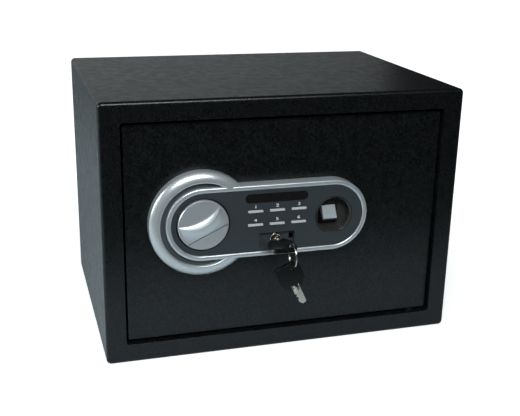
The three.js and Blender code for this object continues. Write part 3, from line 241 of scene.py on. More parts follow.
# Panel trim: one ABS moulding, a domed ring that runs into a racetrack bezel, painted satin silver.
# A dark ABS infill drops between the two, and shows as a crescent.
PANEL_RADIUS = 35 * mm
PANEL_RISE = 13 * mm
FACE_DROP = 1.2 * mm
RIM_WIDTH = 4 * mm
RIM_ROUND = 1.7 * mm
RIM_FULLNESS = 0.8
RIM_ROUND_STEPS = 11
RIM_STEPS = 128
# The bezel's inner lip lies on the panel face: how far it reaches, and how far its steps stand off the face
RIM_LIP = 0.8 * mm
LIP_SHOULDER, LIP_TIP, LIP_FOOT = 0.05 * mm, 0.04 * mm, 0.02 * mm
RING_RADIUS = 49.8 * mm
RING_WIDTH = 9.8 * mm
RING_TILT = 48
RING_EDGE = 1.4 * mm
RING_EDGE_SHARE = 0.3
RING_INNER_WIDTH, RING_INNER_DROP = 1.2 * mm, 0.8 * mm
RING_EDGE_STEPS, RING_DOME_STEPS, RING_INNER_STEPS = 6, 16, 5
# Satin silver paint shows soft, cool highlights, from the fine flakes of aluminium in its clear binder.
silver, silver_tree, silver_shader = new_material("Silver_painted_ABS", "#d4dadd", roughness=0.3, metallic=0.6)
grain(silver_tree, silver_shader, size=0.25 * mm, depth=0.006 * mm)

door_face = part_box("door_plate")[0].y
knob_low, knob_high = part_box("knob_spindle")
knob_axis = (knob_low + knob_high) / 2
panel_end_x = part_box("panel_bezel")[1].x - PANEL_RADIUS


def sweep(piece_mesh, rows, closed=True):
    """Joins rows of points into a skin, each row a closed profile; an open sweep gets a cap at each end."""
    rings = [[piece_mesh.verts.new(p) for p in row] for row in rows]
    count = len(rings[0])
    pairs = list(zip(rings, rings[1:] + rings[:1])) if closed else list(zip(rings, rings[1:]))
    for a, b in pairs:
        for i in range(count):
            j = (i + 1) % count
            piece_mesh.faces.new((a[i], a[j], b[j], b[i]))
    if not closed:
        piece_mesh.faces.new(list(reversed(rings[0])))
        piece_mesh.faces.new(rings[-1])


def mesh_piece(name, build, material, smooth=35):
    """A new piece whose mesh is made by build(bmesh), with its normals facing out."""
    piece = bpy.data.objects.new(name, bpy.data.meshes.new(name))
    bpy.context.scene.collection.objects.link(piece)
    mesh = bmesh.new()
    build(mesh)
    bmesh.ops.recalc_face_normals(mesh, faces=mesh.faces)
    mesh.to_mesh(piece.data)
    mesh.free()
    piece.data.materials.append(material)
    piece.data.shade_smooth()
    piece.data.set_sharp_from_angle(angle=math.radians(smooth))
    return piece


def at_face(x, r, angle, height):
    """A point on the panel, at a radius and an angle round x on the knob's level, standing off the door."""
    return (x + r * math.cos(angle), door_face - height, knob_axis.z + r * math.sin(angle))


# The bezel's profile, as radius and height: up the outer wall, over the round, down to the lip and back
rim_inner = PANEL_RADIUS - RIM_WIDTH
lip_inner = rim_inner - RIM_LIP
rim_middle = (PANEL_RADIUS + lip_inner) / 2
face_rise = PANEL_RISE - FACE_DROP
rim_profile = [(rim_inner, 0), (PANEL_RADIUS, 0), (PANEL_RADIUS, PANEL_RISE - RIM_ROUND)]
for step in range(1, RIM_ROUND_STEPS):
    turn = math.pi * step / RIM_ROUND_STEPS
    rise = PANEL_RISE - RIM_ROUND + RIM_ROUND * math.sin(turn) ** RIM_FULLNESS
    rim_profile.append(
        (
            rim_middle + (PANEL_RADIUS - rim_middle) * math.cos(turn),
            max(rise, face_rise + LIP_SHOULDER) if turn > math.pi / 2 else rise,
        )
    )
rim_profile += [(lip_inner, face_rise + LIP_TIP), (rim_inner, face_rise + LIP_FOOT)]

# The ring's profile: up the wall, round the outer edge, over the dome to its crest and down the inner round
ring_inner = RING_RADIUS - RING_WIDTH
crest = ring_inner + RING_INNER_WIDTH
edge_tilt = math.radians(RING_TILT)
dome = (RING_RADIUS - RING_EDGE * RING_EDGE_SHARE - crest) / math.sin(edge_tilt)
wall_top = PANEL_RISE - dome * (1 - math.cos(edge_tilt))
ring_profile = [(ring_inner, 0), (RING_RADIUS, 0)]
for step in range(RING_EDGE_STEPS):
    turn = edge_tilt + (math.pi / 2 - edge_tilt) * (1 - step / RING_EDGE_STEPS)
    ring_profile.append(
        (RING_RADIUS - RING_EDGE * (1 - math.sin(turn)), wall_top - RING_EDGE * (math.cos(edge_tilt) - math.cos(turn)))
    )
for step in range(1, RING_DOME_STEPS + 1):
    turn = edge_tilt * (1 - step / RING_DOME_STEPS)
    ring_profile.append((crest + dome * math.sin(turn), PANEL_RISE - dome * (1 - math.cos(turn))))
for step in range(1, RING_INNER_STEPS + 1):
    turn = 0.5 * math.pi * step / RING_INNER_STEPS
    ring_profile.append(
        (crest - RING_INNER_WIDTH * math.sin(turn), PANEL_RISE - RING_INNER_DROP * (1 - math.cos(turn)))
    )


def build_trim(mesh):
    """The bezel as one closed sweep round both ends of the panel, and the ring as an open one."""
    rows = []
    for step in range(RIM_STEPS):
        turn = -math.pi / 2 + 2 * math.pi * step / RIM_STEPS
        if step == RIM_STEPS // 2:
            rows.append([at_face(panel_end_x, r, turn, h) for r, h in rim_profile])
        x = panel_end_x if step < RIM_STEPS // 2 else knob_axis.x
        rows.append([at_face(x, r, turn, h) for r, h in rim_profile])
    rows.append([at_face(knob_axis.x, r, 1.5 * math.pi, h) for r, h in rim_profile])
    sweep(mesh, rows)
    # The ring stops inside the bezel's rim, so each of its points has its own span round the knob
    rows = []
    for step in range(RIM_STEPS + 1):
        share = step / RIM_STEPS
        row = []
        for r, h in ring_profile:
            start = math.asin(rim_middle / r)
            row.append(at_face(knob_axis.x, r, start + (2 * math.pi - 2 * start) * share, h))
        rows.append(row)
    sweep(mesh, rows, closed=False)


trim = mesh_piece("panel_trim", build_trim, silver)
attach(trim, "door")
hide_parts("panel_bezel")
# The infill's skin is spark-eroded, like the face's. Its charcoal is painted a lighter grey, as painted light,
# to lift the crescent, which lies in shade.
infill, infill_tree, infill_shader = new_material("Charcoal_ABS_painted_lighter", "#454b4e", roughness=0.46)
grain(infill_tree, infill_shader, size=0.35 * mm, depth=0.02 * mm)
finished("moat_infill", infill, edge=0.3 * mm)

# Panel face: a charcoal ABS moulding with a dished knob well, slots for the buttons and a recess for the key.
# It fills the bezel, and its hollow back is closed by the door plate.
# Its mould is spark-eroded, which leaves an even, fine satin without a clear reflection.
charcoal, charcoal_tree, charcoal_shader = new_material("Moulded_charcoal_ABS", "#353b3f", roughness=0.46)
grain(charcoal_tree, charcoal_shader, size=0.35 * mm, depth=0.02 * mm)
finished("panel_face", charcoal, edge=0.25 * mm)

# Display window: a strip of black acrylic that drops into its slot from behind, where a flange holds it.
# Its polish gives a dim, slightly wavy reflection on a near black ground.
gloss_black, gloss_tree, gloss_shader = new_material("Polished_black_acrylic", "#171514", roughness=0.3, IOR=1.45)
grain(gloss_tree, gloss_shader, size=4 * mm, depth=0.004 * mm)
finished("display_window", gloss_black, edge=0.2 * mm)

# Buttons: six moulded bars, painted silver like the trim. A flange keeps each of them behind the face, and a
# stem presses its switch on the keypad board. The numbers above them are pad-printed in pale ink.
SLIM_DEPTH = 0.6 * mm
BAR_SLIM = 0.76
BAR_HALF = 1.5 * mm
NUMBER_HEIGHT = 2.9 * mm
NUMBER_STRETCH = 1.5
NUMBER_LIFT = 1.7 * mm
DIGIT_SHARE = 0.7
INK_THICKNESS, INK_SPREAD, INK_STAND = 0.02 * mm, 0.05 * mm, 0.03 * mm
# Pad-printing ink is flat and even, with no shine of its own.
ink, ink_tree, ink_shader = new_material("Pale_grey_ink", "#eef1f2", roughness=0.5)
grain(ink_tree, ink_shader, size=0.2 * mm, depth=0.01 * mm)
# The bars' paint has less flake than the trim's, so it stays pale also where it faces the dark.
pale_paint, pale_tree, pale_shader = new_material("Pale_silver_paint", "#dfe1e1", roughness=0.35, metallic=0.15)
grain(pale_tree, pale_shader, size=0.25 * mm, depth=0.006 * mm)
face_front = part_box("panel_face")[0].y
for number in range(1, 7):
    node = f"button_{number}"
    bar = finished(node, pale_paint, edge=0.4 * mm, segments=3)
    low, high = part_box(node)
    middle = (low.z + high.z) / 2
    # Only the bar's front is slimmed, and its flange behind the face keeps its height
    for vert in bar.data.vertices:
        if vert.co.y < face_front + SLIM_DEPTH:
            vert.co.z = middle + (vert.co.z - middle) * BAR_SLIM
    text = bpy.data.curves.new(f"number_{number}", "FONT")
    text.body = str(number)
    text.align_x = "CENTER"
    text.size = NUMBER_HEIGHT / DIGIT_SHARE
    text.extrude = INK_THICKNESS
    text.offset = INK_SPREAD
    writer = bpy.data.objects.new("writer", text)
    bpy.context.scene.collection.objects.link(writer)
    shape = bpy.data.meshes.new_from_object(writer.evaluated_get(bpy.context.evaluated_depsgraph_get()))
    bpy.data.objects.remove(writer)
    foot = ((low.x + high.x) / 2, face_front - INK_STAND, middle + BAR_HALF + NUMBER_LIFT)
    shape.transform(Matrix.Diagonal((NUMBER_STRETCH, 1, 1, 1)))
    shape.transform(Matrix.Rotation(math.pi / 2, 4, "X"))
    shape.transform(Matrix.Translation(foot))
    shape.materials.clear()
    shape.materials.append(ink)
    label = bpy.data.objects.new(f"number_{number}", shape)
    bpy.context.scene.collection.objects.link(label)
    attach(label, "door")

# Fingerprint reader: a polished charcoal well with a flat foot, and a tilted block with the pale sensor pad,
# all moulded and clipped in from behind. The block is coloured gloss black, a painted shade for its facet
# that faces down.
WELL_INSIDE = 15.8 * mm
WELL_FOOT = 4 * mm
PAD_FRONT = 0.2 * mm
# Polished ABS throws a clear bright arc along the well's inner wall.
reader_gloss, reader_tree, reader_shader = new_material("Polished_charcoal_ABS", "#3a3a38", roughness=0.2)
grain(reader_tree, reader_shader, size=4 * mm, depth=0.004 * mm)
well = finished("reader_well", reader_gloss, edge=0.2 * mm)
# A second slot of gloss black, the painted shade on the block inside the well
well.data.materials.append(gloss_black)
well_low, well_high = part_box("reader_well")
well_axis = Vector(((well_low.x + well_high.x) / 2, 0, well_high.z - (well_high.x - well_low.x) / 2))
pad_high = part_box("reader_pad")[1]
# What lies inside the wall, in front of the pad's back and above the foot, is the block, painted gloss black as shade
for face in well.data.polygons:
    off_axis = math.hypot(face.center.x - well_axis.x, face.center.z - well_axis.z)
    in_front = face.center.y < pad_high.y + PAD_FRONT
    if off_axis < WELL_INSIDE and in_front and face.center.z > well_low.z + WELL_FOOT:
        face.material_index = 1
# The sensor's hard coat gives glass a pale grey ground under a sharp, faint reflection.
pad, pad_tree, pad_shader = new_material("Coated_sensor_glass", "#a9b0b3", roughness=0.16, IOR=1.52)
grain(pad_tree, pad_shader, size=3 * mm, depth=0.003 * mm)
finished("reader_pad", pad, edge=0.15 * mm)

# Knob: a die-cast disc, painted satin silver. From a crease on its flat face a bowed ridge rises, rounds over
# and falls into a finger scoop, which ends at a chord with a fine parting groove.
KNOB_RADIUS = 23.9 * mm
KNOB_CHAMFER = 0.8 * mm
KNOB_SINK = 0.2 * mm
GRIP_HEIGHT = 4 * mm
GRIP_TURN = math.radians(25.3)
# Places across the grip, as shares of the knob's radius: the ridge's reach, the crease and how far it bends,
# the crest's lead over the crease, what is left of that at the ends, and the chord
RIDGE_REACH = 0.875
CREASE_PLACE, CREASE_BEND = 0.283, 0.18
CREST_LEAD, CREST_LEFT = 0.28, 0.07
CHORD = 0.424 * KNOB_RADIUS
# How full the ridge's line, its crest's lead, its rise and its fall are, and where the fall meets the flat
RIDGE_POWER, LEAD_POWER, RISE_POWER, FALL_POWER = 0.8, 0.65, 1.1, 1.9
FALL_END = 0.97
GROOVE = 0.55 * mm
GROOVE_DEPTH = 2.4 * mm
GROOVE_FLOOR = 0.8
KNOB_COLUMNS = 160
RISE_ROWS = 16
FALL_ROWS = 34
FLAT_ROWS = 10
KNOB_MERGE, KNOB_SLIVER = 0.01 * mm, 0.005 * mm
knob_rim = door_face - PANEL_RISE + KNOB_SINK
knob_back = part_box("knob")[1].y
flat_radius = KNOB_RADIUS - KNOB_CHAMFER


def ridge_share(s):
    """How much of the ridge is left at s along the grip, from 1 in the middle to 0 at its ends."""
    return max(0.0, 1 - (s / (RIDGE_REACH * KNOB_RADIUS)) ** 2)


def crease_line(s):
    """Where the ridge leaves the flat face, across the grip, at s along it."""
    return CREASE_PLACE * KNOB_RADIUS + CREASE_BEND * KNOB_RADIUS * (s / KNOB_RADIUS) ** 2


def crest_line(s):
    """Where the ridge is highest, across the grip, at s along it."""
    return crease_line(s) - CREST_LEAD * KNOB_RADIUS * math.hypot(CREST_LEFT, ridge_share(s) ** LEAD_POWER)


def knob_height(s, t):
    """How far the knob's face stands out at s along the grip and t across it."""
    crease, crest = crease_line(s), crest_line(s)
    if t >= crease or t <= -CHORD:
        return 0.0
    ridge = GRIP_HEIGHT * ridge_share(s) ** RIDGE_POWER
    if t >= crest:
        return ridge * (1 - math.cos(0.5 * math.pi * (crease - t) / (crease - crest))) ** RISE_POWER
    down = (crest - t) / (crest + CHORD)
    return ridge * (1 - min(1.0, down / FALL_END)) ** FALL_POWER


def build_knob(mesh):
    """The knob's face as a height over its disc, then its chamfer, its wall and its back."""
    # Rows follow the crease, the crest and the groove, so that each of them is a clean line of edges
    cos, sin = math.cos(GRIP_TURN), math.sin(GRIP_TURN)
    columns = []
    for column in range(KNOB_COLUMNS + 1):
        s = -flat_radius * math.cos(math.pi * column / KNOB_COLUMNS)
        reach = math.sqrt(max(0.0, flat_radius**2 - s**2))
        crease, crest, groove = crease_line(s), crest_line(s), -CHORD
        rows = [(reach + (crease - reach) * i / FLAT_ROWS, 0.0) for i in range(FLAT_ROWS)]
        rows += [(crease + (crest - crease) * i / RISE_ROWS, 0.0) for i in range(RISE_ROWS)]
        rows += [(crest + (groove + GROOVE - crest) * i / FALL_ROWS, 0.0) for i in range(FALL_ROWS + 1)]
        rows += [(groove + side * GROOVE_FLOOR * GROOVE, GROOVE_DEPTH) for side in (1, -1)]
        rows += [(groove - GROOVE - (reach + groove - GROOVE) * i / FLAT_ROWS, 0.0) for i in range(FLAT_ROWS + 1)]
        points = []
        for t, deep in rows:
            t = max(-reach, min(reach, t))
            height = knob_height(s, t) - deep * (reach > CHORD)
            points.append((knob_axis.x + s * cos - t * sin, knob_rim - height, knob_axis.z + s * sin + t * cos))
        columns.append([mesh.verts.new(point) for point in points])
    for a, b in zip(columns, columns[1:]):
        for i in range(len(a) - 1):
            mesh.faces.new((a[i], a[i + 1], b[i + 1], b[i]))
    bmesh.ops.remove_doubles(mesh, verts=mesh.verts, dist=KNOB_MERGE)
    bmesh.ops.dissolve_degenerate(mesh, edges=mesh.edges, dist=KNOB_SLIVER)
    for radius, y in ((KNOB_RADIUS, knob_rim + KNOB_CHAMFER), (KNOB_RADIUS, knob_back)):
        rim = [edge for edge in mesh.edges if edge.is_boundary]
        grown = bmesh.ops.extrude_edge_only(mesh, edges=rim)["geom"]
        for vert in (item for item in grown if isinstance(item, bmesh.types.BMVert)):
            across = Vector((vert.co.x - knob_axis.x, 0, vert.co.z - knob_axis.z)).normalized() * radius
            vert.co = (knob_axis.x + across.x, y, knob_axis.z + across.z)
    bmesh.ops.holes_fill(mesh, edges=[edge for edge in mesh.edges if edge.is_boundary])


knob = mesh_piece("knob_grip", build_knob, silver, smooth=14)
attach(knob, "knob")
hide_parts("knob")

# Knob drive: a turned spindle through a nylon bush in the door, held by a spring clip, with a pressed cam on
# its end. The steel parts are zinc plated.
# Undyed nylon is a warm white that lets a little light in, so its edges look soft.
nylon, nylon_tree, nylon_shader = new_material("Natural_nylon", "#e6e1d2", roughness=0.45, Subsurface_Weight=0.1)
grain(nylon_tree, nylon_shader, size=0.6 * mm, depth=0.02 * mm)
finished("spindle_bush", nylon)
for node in ("knob_spindle", "spindle_clip", "drive_cam"):
    finished(node, zinc, edge=0.2 * mm)

# Bolt work: two turned steel bolts with half-round tails that seat on a flat carrier plate. The carrier slides
# on shoulder studs, and the bolts run through a bracket welded to the door. All of it is zinc plated.
for node in (
    "live_bolt_upper",
    "live_bolt_lower",
    "bolt_carrier",
    "bolt_guide",
    "carrier_stud_upper",
    "carrier_stud_lower",
):
    finished(node, zinc, edge=0.25 * mm)

# Blocking solenoid: a pressed frame with its feet on the door, a coil of enamelled wire, and a turned plunger
# with a wound return spring. The steel parts are zinc plated.
# Enamel deepens the copper to a warm brown, and the turns of wire break its shine.
copper, copper_tree, copper_shader = new_material(
    "Enamelled_copper_winding", "#9c4a22", roughness=0.35, metallic=0.9
)
grain(copper_tree, copper_shader, size=0.5 * mm, depth=0.08 * mm)
for node in ("solenoid_frame", "blocker_plunger"):
    finished(node, zinc, edge=0.2 * mm)
finished("solenoid_coil", copper)
finished("blocker_spring", zinc, smooth=60)

# Emergency lock: a die-cast barrel and plug, nickel plated. A steel nut clamps the barrel through the panel and
# the door, and a pressed cam sits on the plug's end.
# Nickel plate is a warm mirror, a little uneven from the polished casting under it.
nickel, nickel_tree, nickel_shader = new_material("Nickel_plate", "#dcd6c8", roughness=0.17, metallic=1.0)
grain(nickel_tree, nickel_shader, size=2.5 * mm, depth=0.004 * mm)
finished("lock_barrel", nickel, edge=0.2 * mm)
finished("lock_plug", nickel, edge=0.15 * mm)
finished("lock_nut", zinc, edge=0.3 * mm)
finished("lock_cam", zinc, edge=0.2 * mm)

# Keys: nickel-plated brass blades with cut teeth and a groove, each moulded into a black plastic bow that has a
# window at its neck and a hole for the ring in one corner.
# The bows are polished, so their rounded edges carry thin, sharp highlights on a deep black.
bow_plastic, bow_tree, bow_shader = new_material("Polished_black_ABS", "#0b0c0d", roughness=0.2)
grain(bow_tree, bow_shader, size=4 * mm, depth=0.006 * mm)
for node in ("key_bow", "spare_key_bow"):
    finished(node, bow_plastic, edge=0.45 * mm, segments=3)
for node in ("key_blade", "spare_key_blade"):
    finished(node, nickel, edge=0.12 * mm)

# Key necks: a turned collar with two fine grooves, pressed on each blade, half sunk in the bow's window and
# nickel plated with the blade.
SPARE_TILT = math.radians(25)
TANG = 14 * mm
COLLAR_SIDES = 32
COLLAR_FLAT = 0.82
# Place along the blade and radius of each step of the collar, in millimetres
COLLAR = (
    (-4.7, 2.3),
    (-4.4, 3.0),
    (-2.9, 3.2),
    (-2.6, 2.6),
    (-2.1, 2.6),
    (-1.8, 3.3),
    (0.4, 3.3),
    (0.7, 2.7),
    (1.2, 2.7),
    (1.5, 3.1),
    (2.6, 3.0),
    (3.0, 2.2),
)
for node, across, along, out in (
    ("key_blade", Vector((1, 0, 0)), Vector((0, 1, 0)), Vector((0, 0, 1))),
    (
        "spare_key_blade",
        Vector((math.cos(SPARE_TILT), 0, math.sin(SPARE_TILT))),
        Vector((math.sin(SPARE_TILT), 0, -math.cos(SPARE_TILT))),
        Vector((0, 1, 0)),
    ),
):
    points = [vert.co for vert in frame["nodes"][node].data.vertices]
    spans = [[axis.dot(point) for point in points] for axis in (across, along, out)]
    foot = (
        across * (min(spans[0]) + max(spans[0])) / 2
        + along * (min(spans[1]) + TANG)
        + out * (min(spans[2]) + max(spans[2])) / 2
    )

    def build_collar(mesh):
        """A ring of points for each step of the collar, a little flattened across the key."""
        rows = []
        for up, radius in COLLAR:
            centre, wide, thick = foot + along * up * mm, radius * mm, COLLAR_FLAT * radius * mm
            turns = [2 * math.pi * side / COLLAR_SIDES for side in range(COLLAR_SIDES)]
            rows.append([centre + across * wide * math.cos(t) + out * thick * math.sin(t) for t in turns])
        sweep(mesh, rows, closed=False)

    collar = mesh_piece(node + "_collar", build_collar, nickel, smooth=30)
    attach(collar, body_of[node])

# Key ring: a split ring of spring wire, wound in nearly two turns side by side and nickel plated. It runs
# through the corner holes of both bows.
SPLIT_TURNS = 1.9
TURN_SIDES = 96
WIRE_SIDES = 14


def sized_tree(name, sizes):
    """A Geometry Nodes tree with an input for each size and for the finish, returned with its input node."""
    tree = bpy.data.node_groups.new(name, "GeometryNodeTree")
    for size, value in sizes.items():
        tree.interface.new_socket(size, in_out="INPUT", socket_type="NodeSocketFloat").default_value = value
    tree.interface.new_socket("Finish", in_out="INPUT", socket_type="NodeSocketMaterial")
    tree.interface.new_socket("Geometry", in_out="OUTPUT", socket_type="NodeSocketGeometry")
    return tree, add_node(tree, "NodeGroupInput")


def end_tree(tree, given, geometry):
    """Ends a tree in real geometry with the given finish."""
    real = add_node(tree, "GeometryNodeRealizeInstances", links={"Geometry": geometry})
    coloured = add_node(
        tree,
        "GeometryNodeSetMaterial",
        links={"Geometry": real.outputs["Geometry"], "Material": given.outputs["Finish"]},
    )
    add_node(tree, "NodeGroupOutput", links={"Geometry": coloured.outputs["Geometry"]})


def grown(name, tree, values):
    """A piece made by a tree from its named inputs, and settled into plain mesh."""
    piece = bpy.data.objects.new(name, bpy.data.meshes.new(name))
    bpy.context.scene.collection.objects.link(piece)
    modifier = piece.modifiers.new("Grown", "NODES")
    modifier.node_group = tree
    identifiers = {item.name: item.identifier for item in tree.interface.items_tree if item.in_out == "INPUT"}
    for socket, value in values.items():
        modifier[identifiers[socket]] = value
    settle(piece)
    return piece


ring_low, ring_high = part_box("key_ring")
ring_middle = (ring_low + ring_high) / 2
wire_radius = (ring_high.x - ring_low.x) / 4
wire_sizes = {
    "Radius": (ring_high.z - ring_low.z) / 2 - wire_radius,
    "Rise": 2 * wire_radius * SPLIT_TURNS / 2,
    "Turns": SPLIT_TURNS,
    "Wire Radius": wire_radius,
}
winding, given = sized_tree("Wound_wire", wire_sizes)
spiral = add_node(
    winding,
    "GeometryNodeCurveSpiral",
    inputs={"Resolution": TURN_SIDES},
    links={
        "Rotations": given.outputs["Turns"],
        "Start Radius": given.outputs["Radius"],
        "End Radius": given.outputs["Radius"],
        "Height": given.outputs["Rise"],
    },
)
section = add_node(
    winding,
    "GeometryNodeCurvePrimitiveCircle",
    inputs={"Resolution": WIRE_SIDES},
    links={"Radius": given.outputs["Wire Radius"]},
)
wire = add_node(
    winding,
    "GeometryNodeCurveToMesh",
    inputs={"Fill Caps": True},
    links={"Curve": spiral.outputs["Curve"], "Profile Curve": section.outputs["Curve"]},
)
end_tree(winding, given, wire.outputs["Mesh"])
split_ring = grown("split_ring", winding, {**wire_sizes, "Finish": nickel})
split_ring.data.transform(Matrix.Translation((0, 0, -wire_radius * SPLIT_TURNS / 2)))
split_ring.data.transform(Matrix.Rotation(math.pi / 2, 4, "Y"))
split_ring.data.transform(Matrix.Translation(ring_middle))
split_ring.data.shade_smooth()
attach(split_ring, "ring")
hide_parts("key_ring")

# Electronics: a keypad board on the face's bosses and a main board on stand-offs, both of glass fibre, a
# moulded box with a lid for four sleeved cells, and a red button that reaches through the cover.
# Solder resist is a clear green lacquer, glossy over the weave of the glass.
resist, resist_tree, resist_shader = new_material("Green_solder_resist", "#1d6a3a", roughness=0.3)
grain(resist_tree, resist_shader, size=0.7 * mm, depth=0.02 * mm)
# The box and its lid come from a spark-eroded mould, which leaves them a soft grey black.
moulded, moulded_tree, moulded_shader = new_material("Moulded_black_ABS", "#17181a", roughness=0.4)
grain(moulded_tree, moulded_shader, size=0.4 * mm, depth=0.03 * mm)
# The cells' shrunk film shows the steel can's dull shine through slate blue.
sleeve, sleeve_tree, sleeve_shader = new_material("Printed_cell_sleeve", "#39485a", roughness=0.3, metallic=0.2)
grain(sleeve_tree, sleeve_shader, size=3 * mm, depth=0.02 * mm)
# The button is dyed through, so its red stays even over the rounded edge.
red, red_tree, red_shader = new_material("Moulded_red_ABS", "#b3201c", roughness=0.35)
grain(red_tree, red_shader, size=0.4 * mm, depth=0.02 * mm)
finished("keypad_board", resist)
finished("main_board", resist)
finished("battery_box", moulded, edge=0.2 * mm)
finished("battery_lid", moulded, edge=0.4 * mm)
for cell in range(1, 5):
    finished(f"cell_{cell}", sleeve, edge=0.3 * mm)
finished("reset_button", red, edge=0.5 * mm)

# Inner cover: 1.2 mm steel sheet, folded and coated, held to the door's studs by four screws with domed,
# cross-recessed heads, zinc plated.
SCREW_INSET = 14 * mm
HEAD_SIDES, HEAD_RINGS = 32, 20
HEAD_CREASE = math.radians(35)
finished("inner_cover", coat, edge=0.3 * mm)
cover_low, cover_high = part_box("inner_cover")
cover_middle = (cover_low + cover_high) / 2
screw_sizes = {
    "Across": cover_high.x - cover_low.x - 2 * SCREW_INSET,
    "Up": cover_high.z - cover_low.z - 2 * SCREW_INSET,
    "Head Radius": 3 * mm,
    "Head Rise": 1.7 * mm,
    "Recess Width": 0.9 * mm,
}
fixing, given = sized_tree("Cross_head_screws", screw_sizes)
places = add_node(
    fixing,
    "GeometryNodeMeshGrid",
    inputs={"Vertices X": 2, "Vertices Y": 2},
    links={"Size X": given.outputs["Across"], "Size Y": given.outputs["Up"]},
)
ball = add_node(
    fixing,
    "GeometryNodeMeshUVSphere",
    inputs={"Segments": HEAD_SIDES, "Rings": HEAD_RINGS, "Radius": 1.0},
)
head_size = add_node(
    fixing,
    "ShaderNodeCombineXYZ",
    links={
        "X": given.outputs["Head Radius"],
        "Y": given.outputs["Head Radius"],
        "Z": given.outputs["Head Rise"],
    },
)
head = add_node(
    fixing,
    "GeometryNodeTransform",
    links={"Geometry": ball.outputs["Mesh"], "Scale": head_size.outputs["Vector"]},
)
recessed = add_node(
    fixing,
    "GeometryNodeMeshBoolean",
    settings={"operation": "DIFFERENCE"},
    links={"Mesh 1": head.outputs["Geometry"]},
)
# Two crossed arms cut the recess into the top half of each head
for first, second in (("X", "Y"), ("Y", "X")):
    arm = add_node(
        fixing,
        "ShaderNodeCombineXYZ",
        links={
            first: given.outputs["Head Radius"],
            second: given.outputs["Recess Width"],
            "Z": given.outputs["Head Rise"],
        },
    )
    cutter = add_node(fixing, "GeometryNodeMeshCube", links={"Size": arm.outputs["Vector"]})
    raised = add_node(fixing, "ShaderNodeCombineXYZ", links={"Z": given.outputs["Head Rise"]})
    placed = add_node(
        fixing,
        "GeometryNodeTransform",
        links={"Geometry": cutter.outputs["Mesh"], "Translation": raised.outputs["Vector"]},
    )
    fixing.links.new(placed.outputs["Geometry"], recessed.inputs["Mesh 2"])
repeated = add_node(
    fixing,
    "GeometryNodeInstanceOnPoints",
    links={"Points": places.outputs["Mesh"], "Instance": recessed.outputs["Mesh"]},
)
end_tree(fixing, given, repeated.outputs["Instances"])
screws = grown("cover_screws", fixing, {**screw_sizes, "Finish": zinc})
screws.data.transform(Matrix.Rotation(-math.pi / 2, 4, "X"))
screws.data.transform(Matrix.Translation((cover_middle.x, cover_high.y, cover_middle.z)))
screws.data.shade_smooth()
screws.data.set_sharp_from_angle(angle=HEAD_CREASE)
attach(screws, "door")

# Floor: white paper under and behind the safe. The camera sees it as white with the safe's soft shadow. In
# reflections it is a little cool, and ends a little way in front of the door.
FLOOR_SIZE = 8.0
PAPER_END = -0.44
PAPER_FADE = 0.18
PAPER_DARK, PAPER_LIGHT = 0.03, 0.78
PAPER_TINT = (0.86, 0.97, 1.03)
PAPER_GREY = "#ededed"
# To the camera the paper glows by itself, a little less near the safe, so that the shadow there still shows
SHADE_NEAR, SHADE_FAR = 0.2, 0.5
SHADE_WHITE, FULL_WHITE = 0.62, 1.0
paper = bpy.data.materials.new("White_paper")
paper.use_nodes = True
paper_tree = paper.node_tree
paper_place = add_node(paper_tree, "ShaderNodeTexCoord")
paper_axes = add_node(paper_tree, "ShaderNodeSeparateXYZ", links={"Vector": paper_place.outputs["Object"]})
depth_light = add_node(
    paper_tree,
    "ShaderNodeMapRange",
    settings={"interpolation_type": "SMOOTHSTEP"},
    inputs={
        "From Min": PAPER_END,
        "From Max": PAPER_END + PAPER_FADE,
        "To Min": PAPER_DARK,
        "To Max": PAPER_LIGHT,
    },
    links={"Value": paper_axes.outputs["Y"]},
)
cooled = add_node(
    paper_tree,
    "ShaderNodeVectorMath",
    settings={"operation": "SCALE"},
    inputs={"Vector": PAPER_TINT},
    links={"Scale": depth_light.outputs["Result"]},
)
reflected = add_node(paper_tree, "ShaderNodeBsdfDiffuse", links={"Color": cooled.outputs["Vector"]})
away = add_node(
    paper_tree,
    "ShaderNodeVectorMath",
    settings={"operation": "LENGTH"},
    links={"Vector": paper_place.outputs["Object"]},
)
glow = add_node(
    paper_tree,
    "ShaderNodeMapRange",
    inputs={"From Min": SHADE_NEAR, "From Max": SHADE_FAR, "To Min": SHADE_WHITE, "To Max": FULL_WHITE},
    links={"Value": away.outputs["Value"]},
)
white = add_node(paper_tree, "ShaderNodeEmission", links={"Strength": glow.outputs["Result"]})
shaded = add_node(paper_tree, "ShaderNodeBsdfDiffuse", inputs={"Color": linear(PAPER_GREY)})
bright = add_node(
    paper_tree,
    "ShaderNodeAddShader",
    links={0: white.outputs["Emission"], 1: shaded.outputs["BSDF"]},
)
ray = add_node(paper_tree, "ShaderNodeLightPath")
choice = add_node(
    paper_tree,
    "ShaderNodeMixShader",
    links={"Fac": ray.outputs["Is Camera Ray"], 1: reflected.outputs["BSDF"], 2: bright.outputs["Shader"]},
)
paper_tree.links.new(choice.outputs["Shader"], paper_tree.nodes["Material Output"].inputs["Surface"])
floor = bpy.data.objects.new("floor", bpy.data.meshes.new("floor"))
bpy.context.scene.collection.objects.link(floor)
half = FLOOR_SIZE / 2
floor.data.from_pydata([(-half, -half, 0), (half, -half, 0), (half, half, 0), (-half, half, 0)], [], [(0, 1, 2, 3)])
floor.data.materials.append(paper)

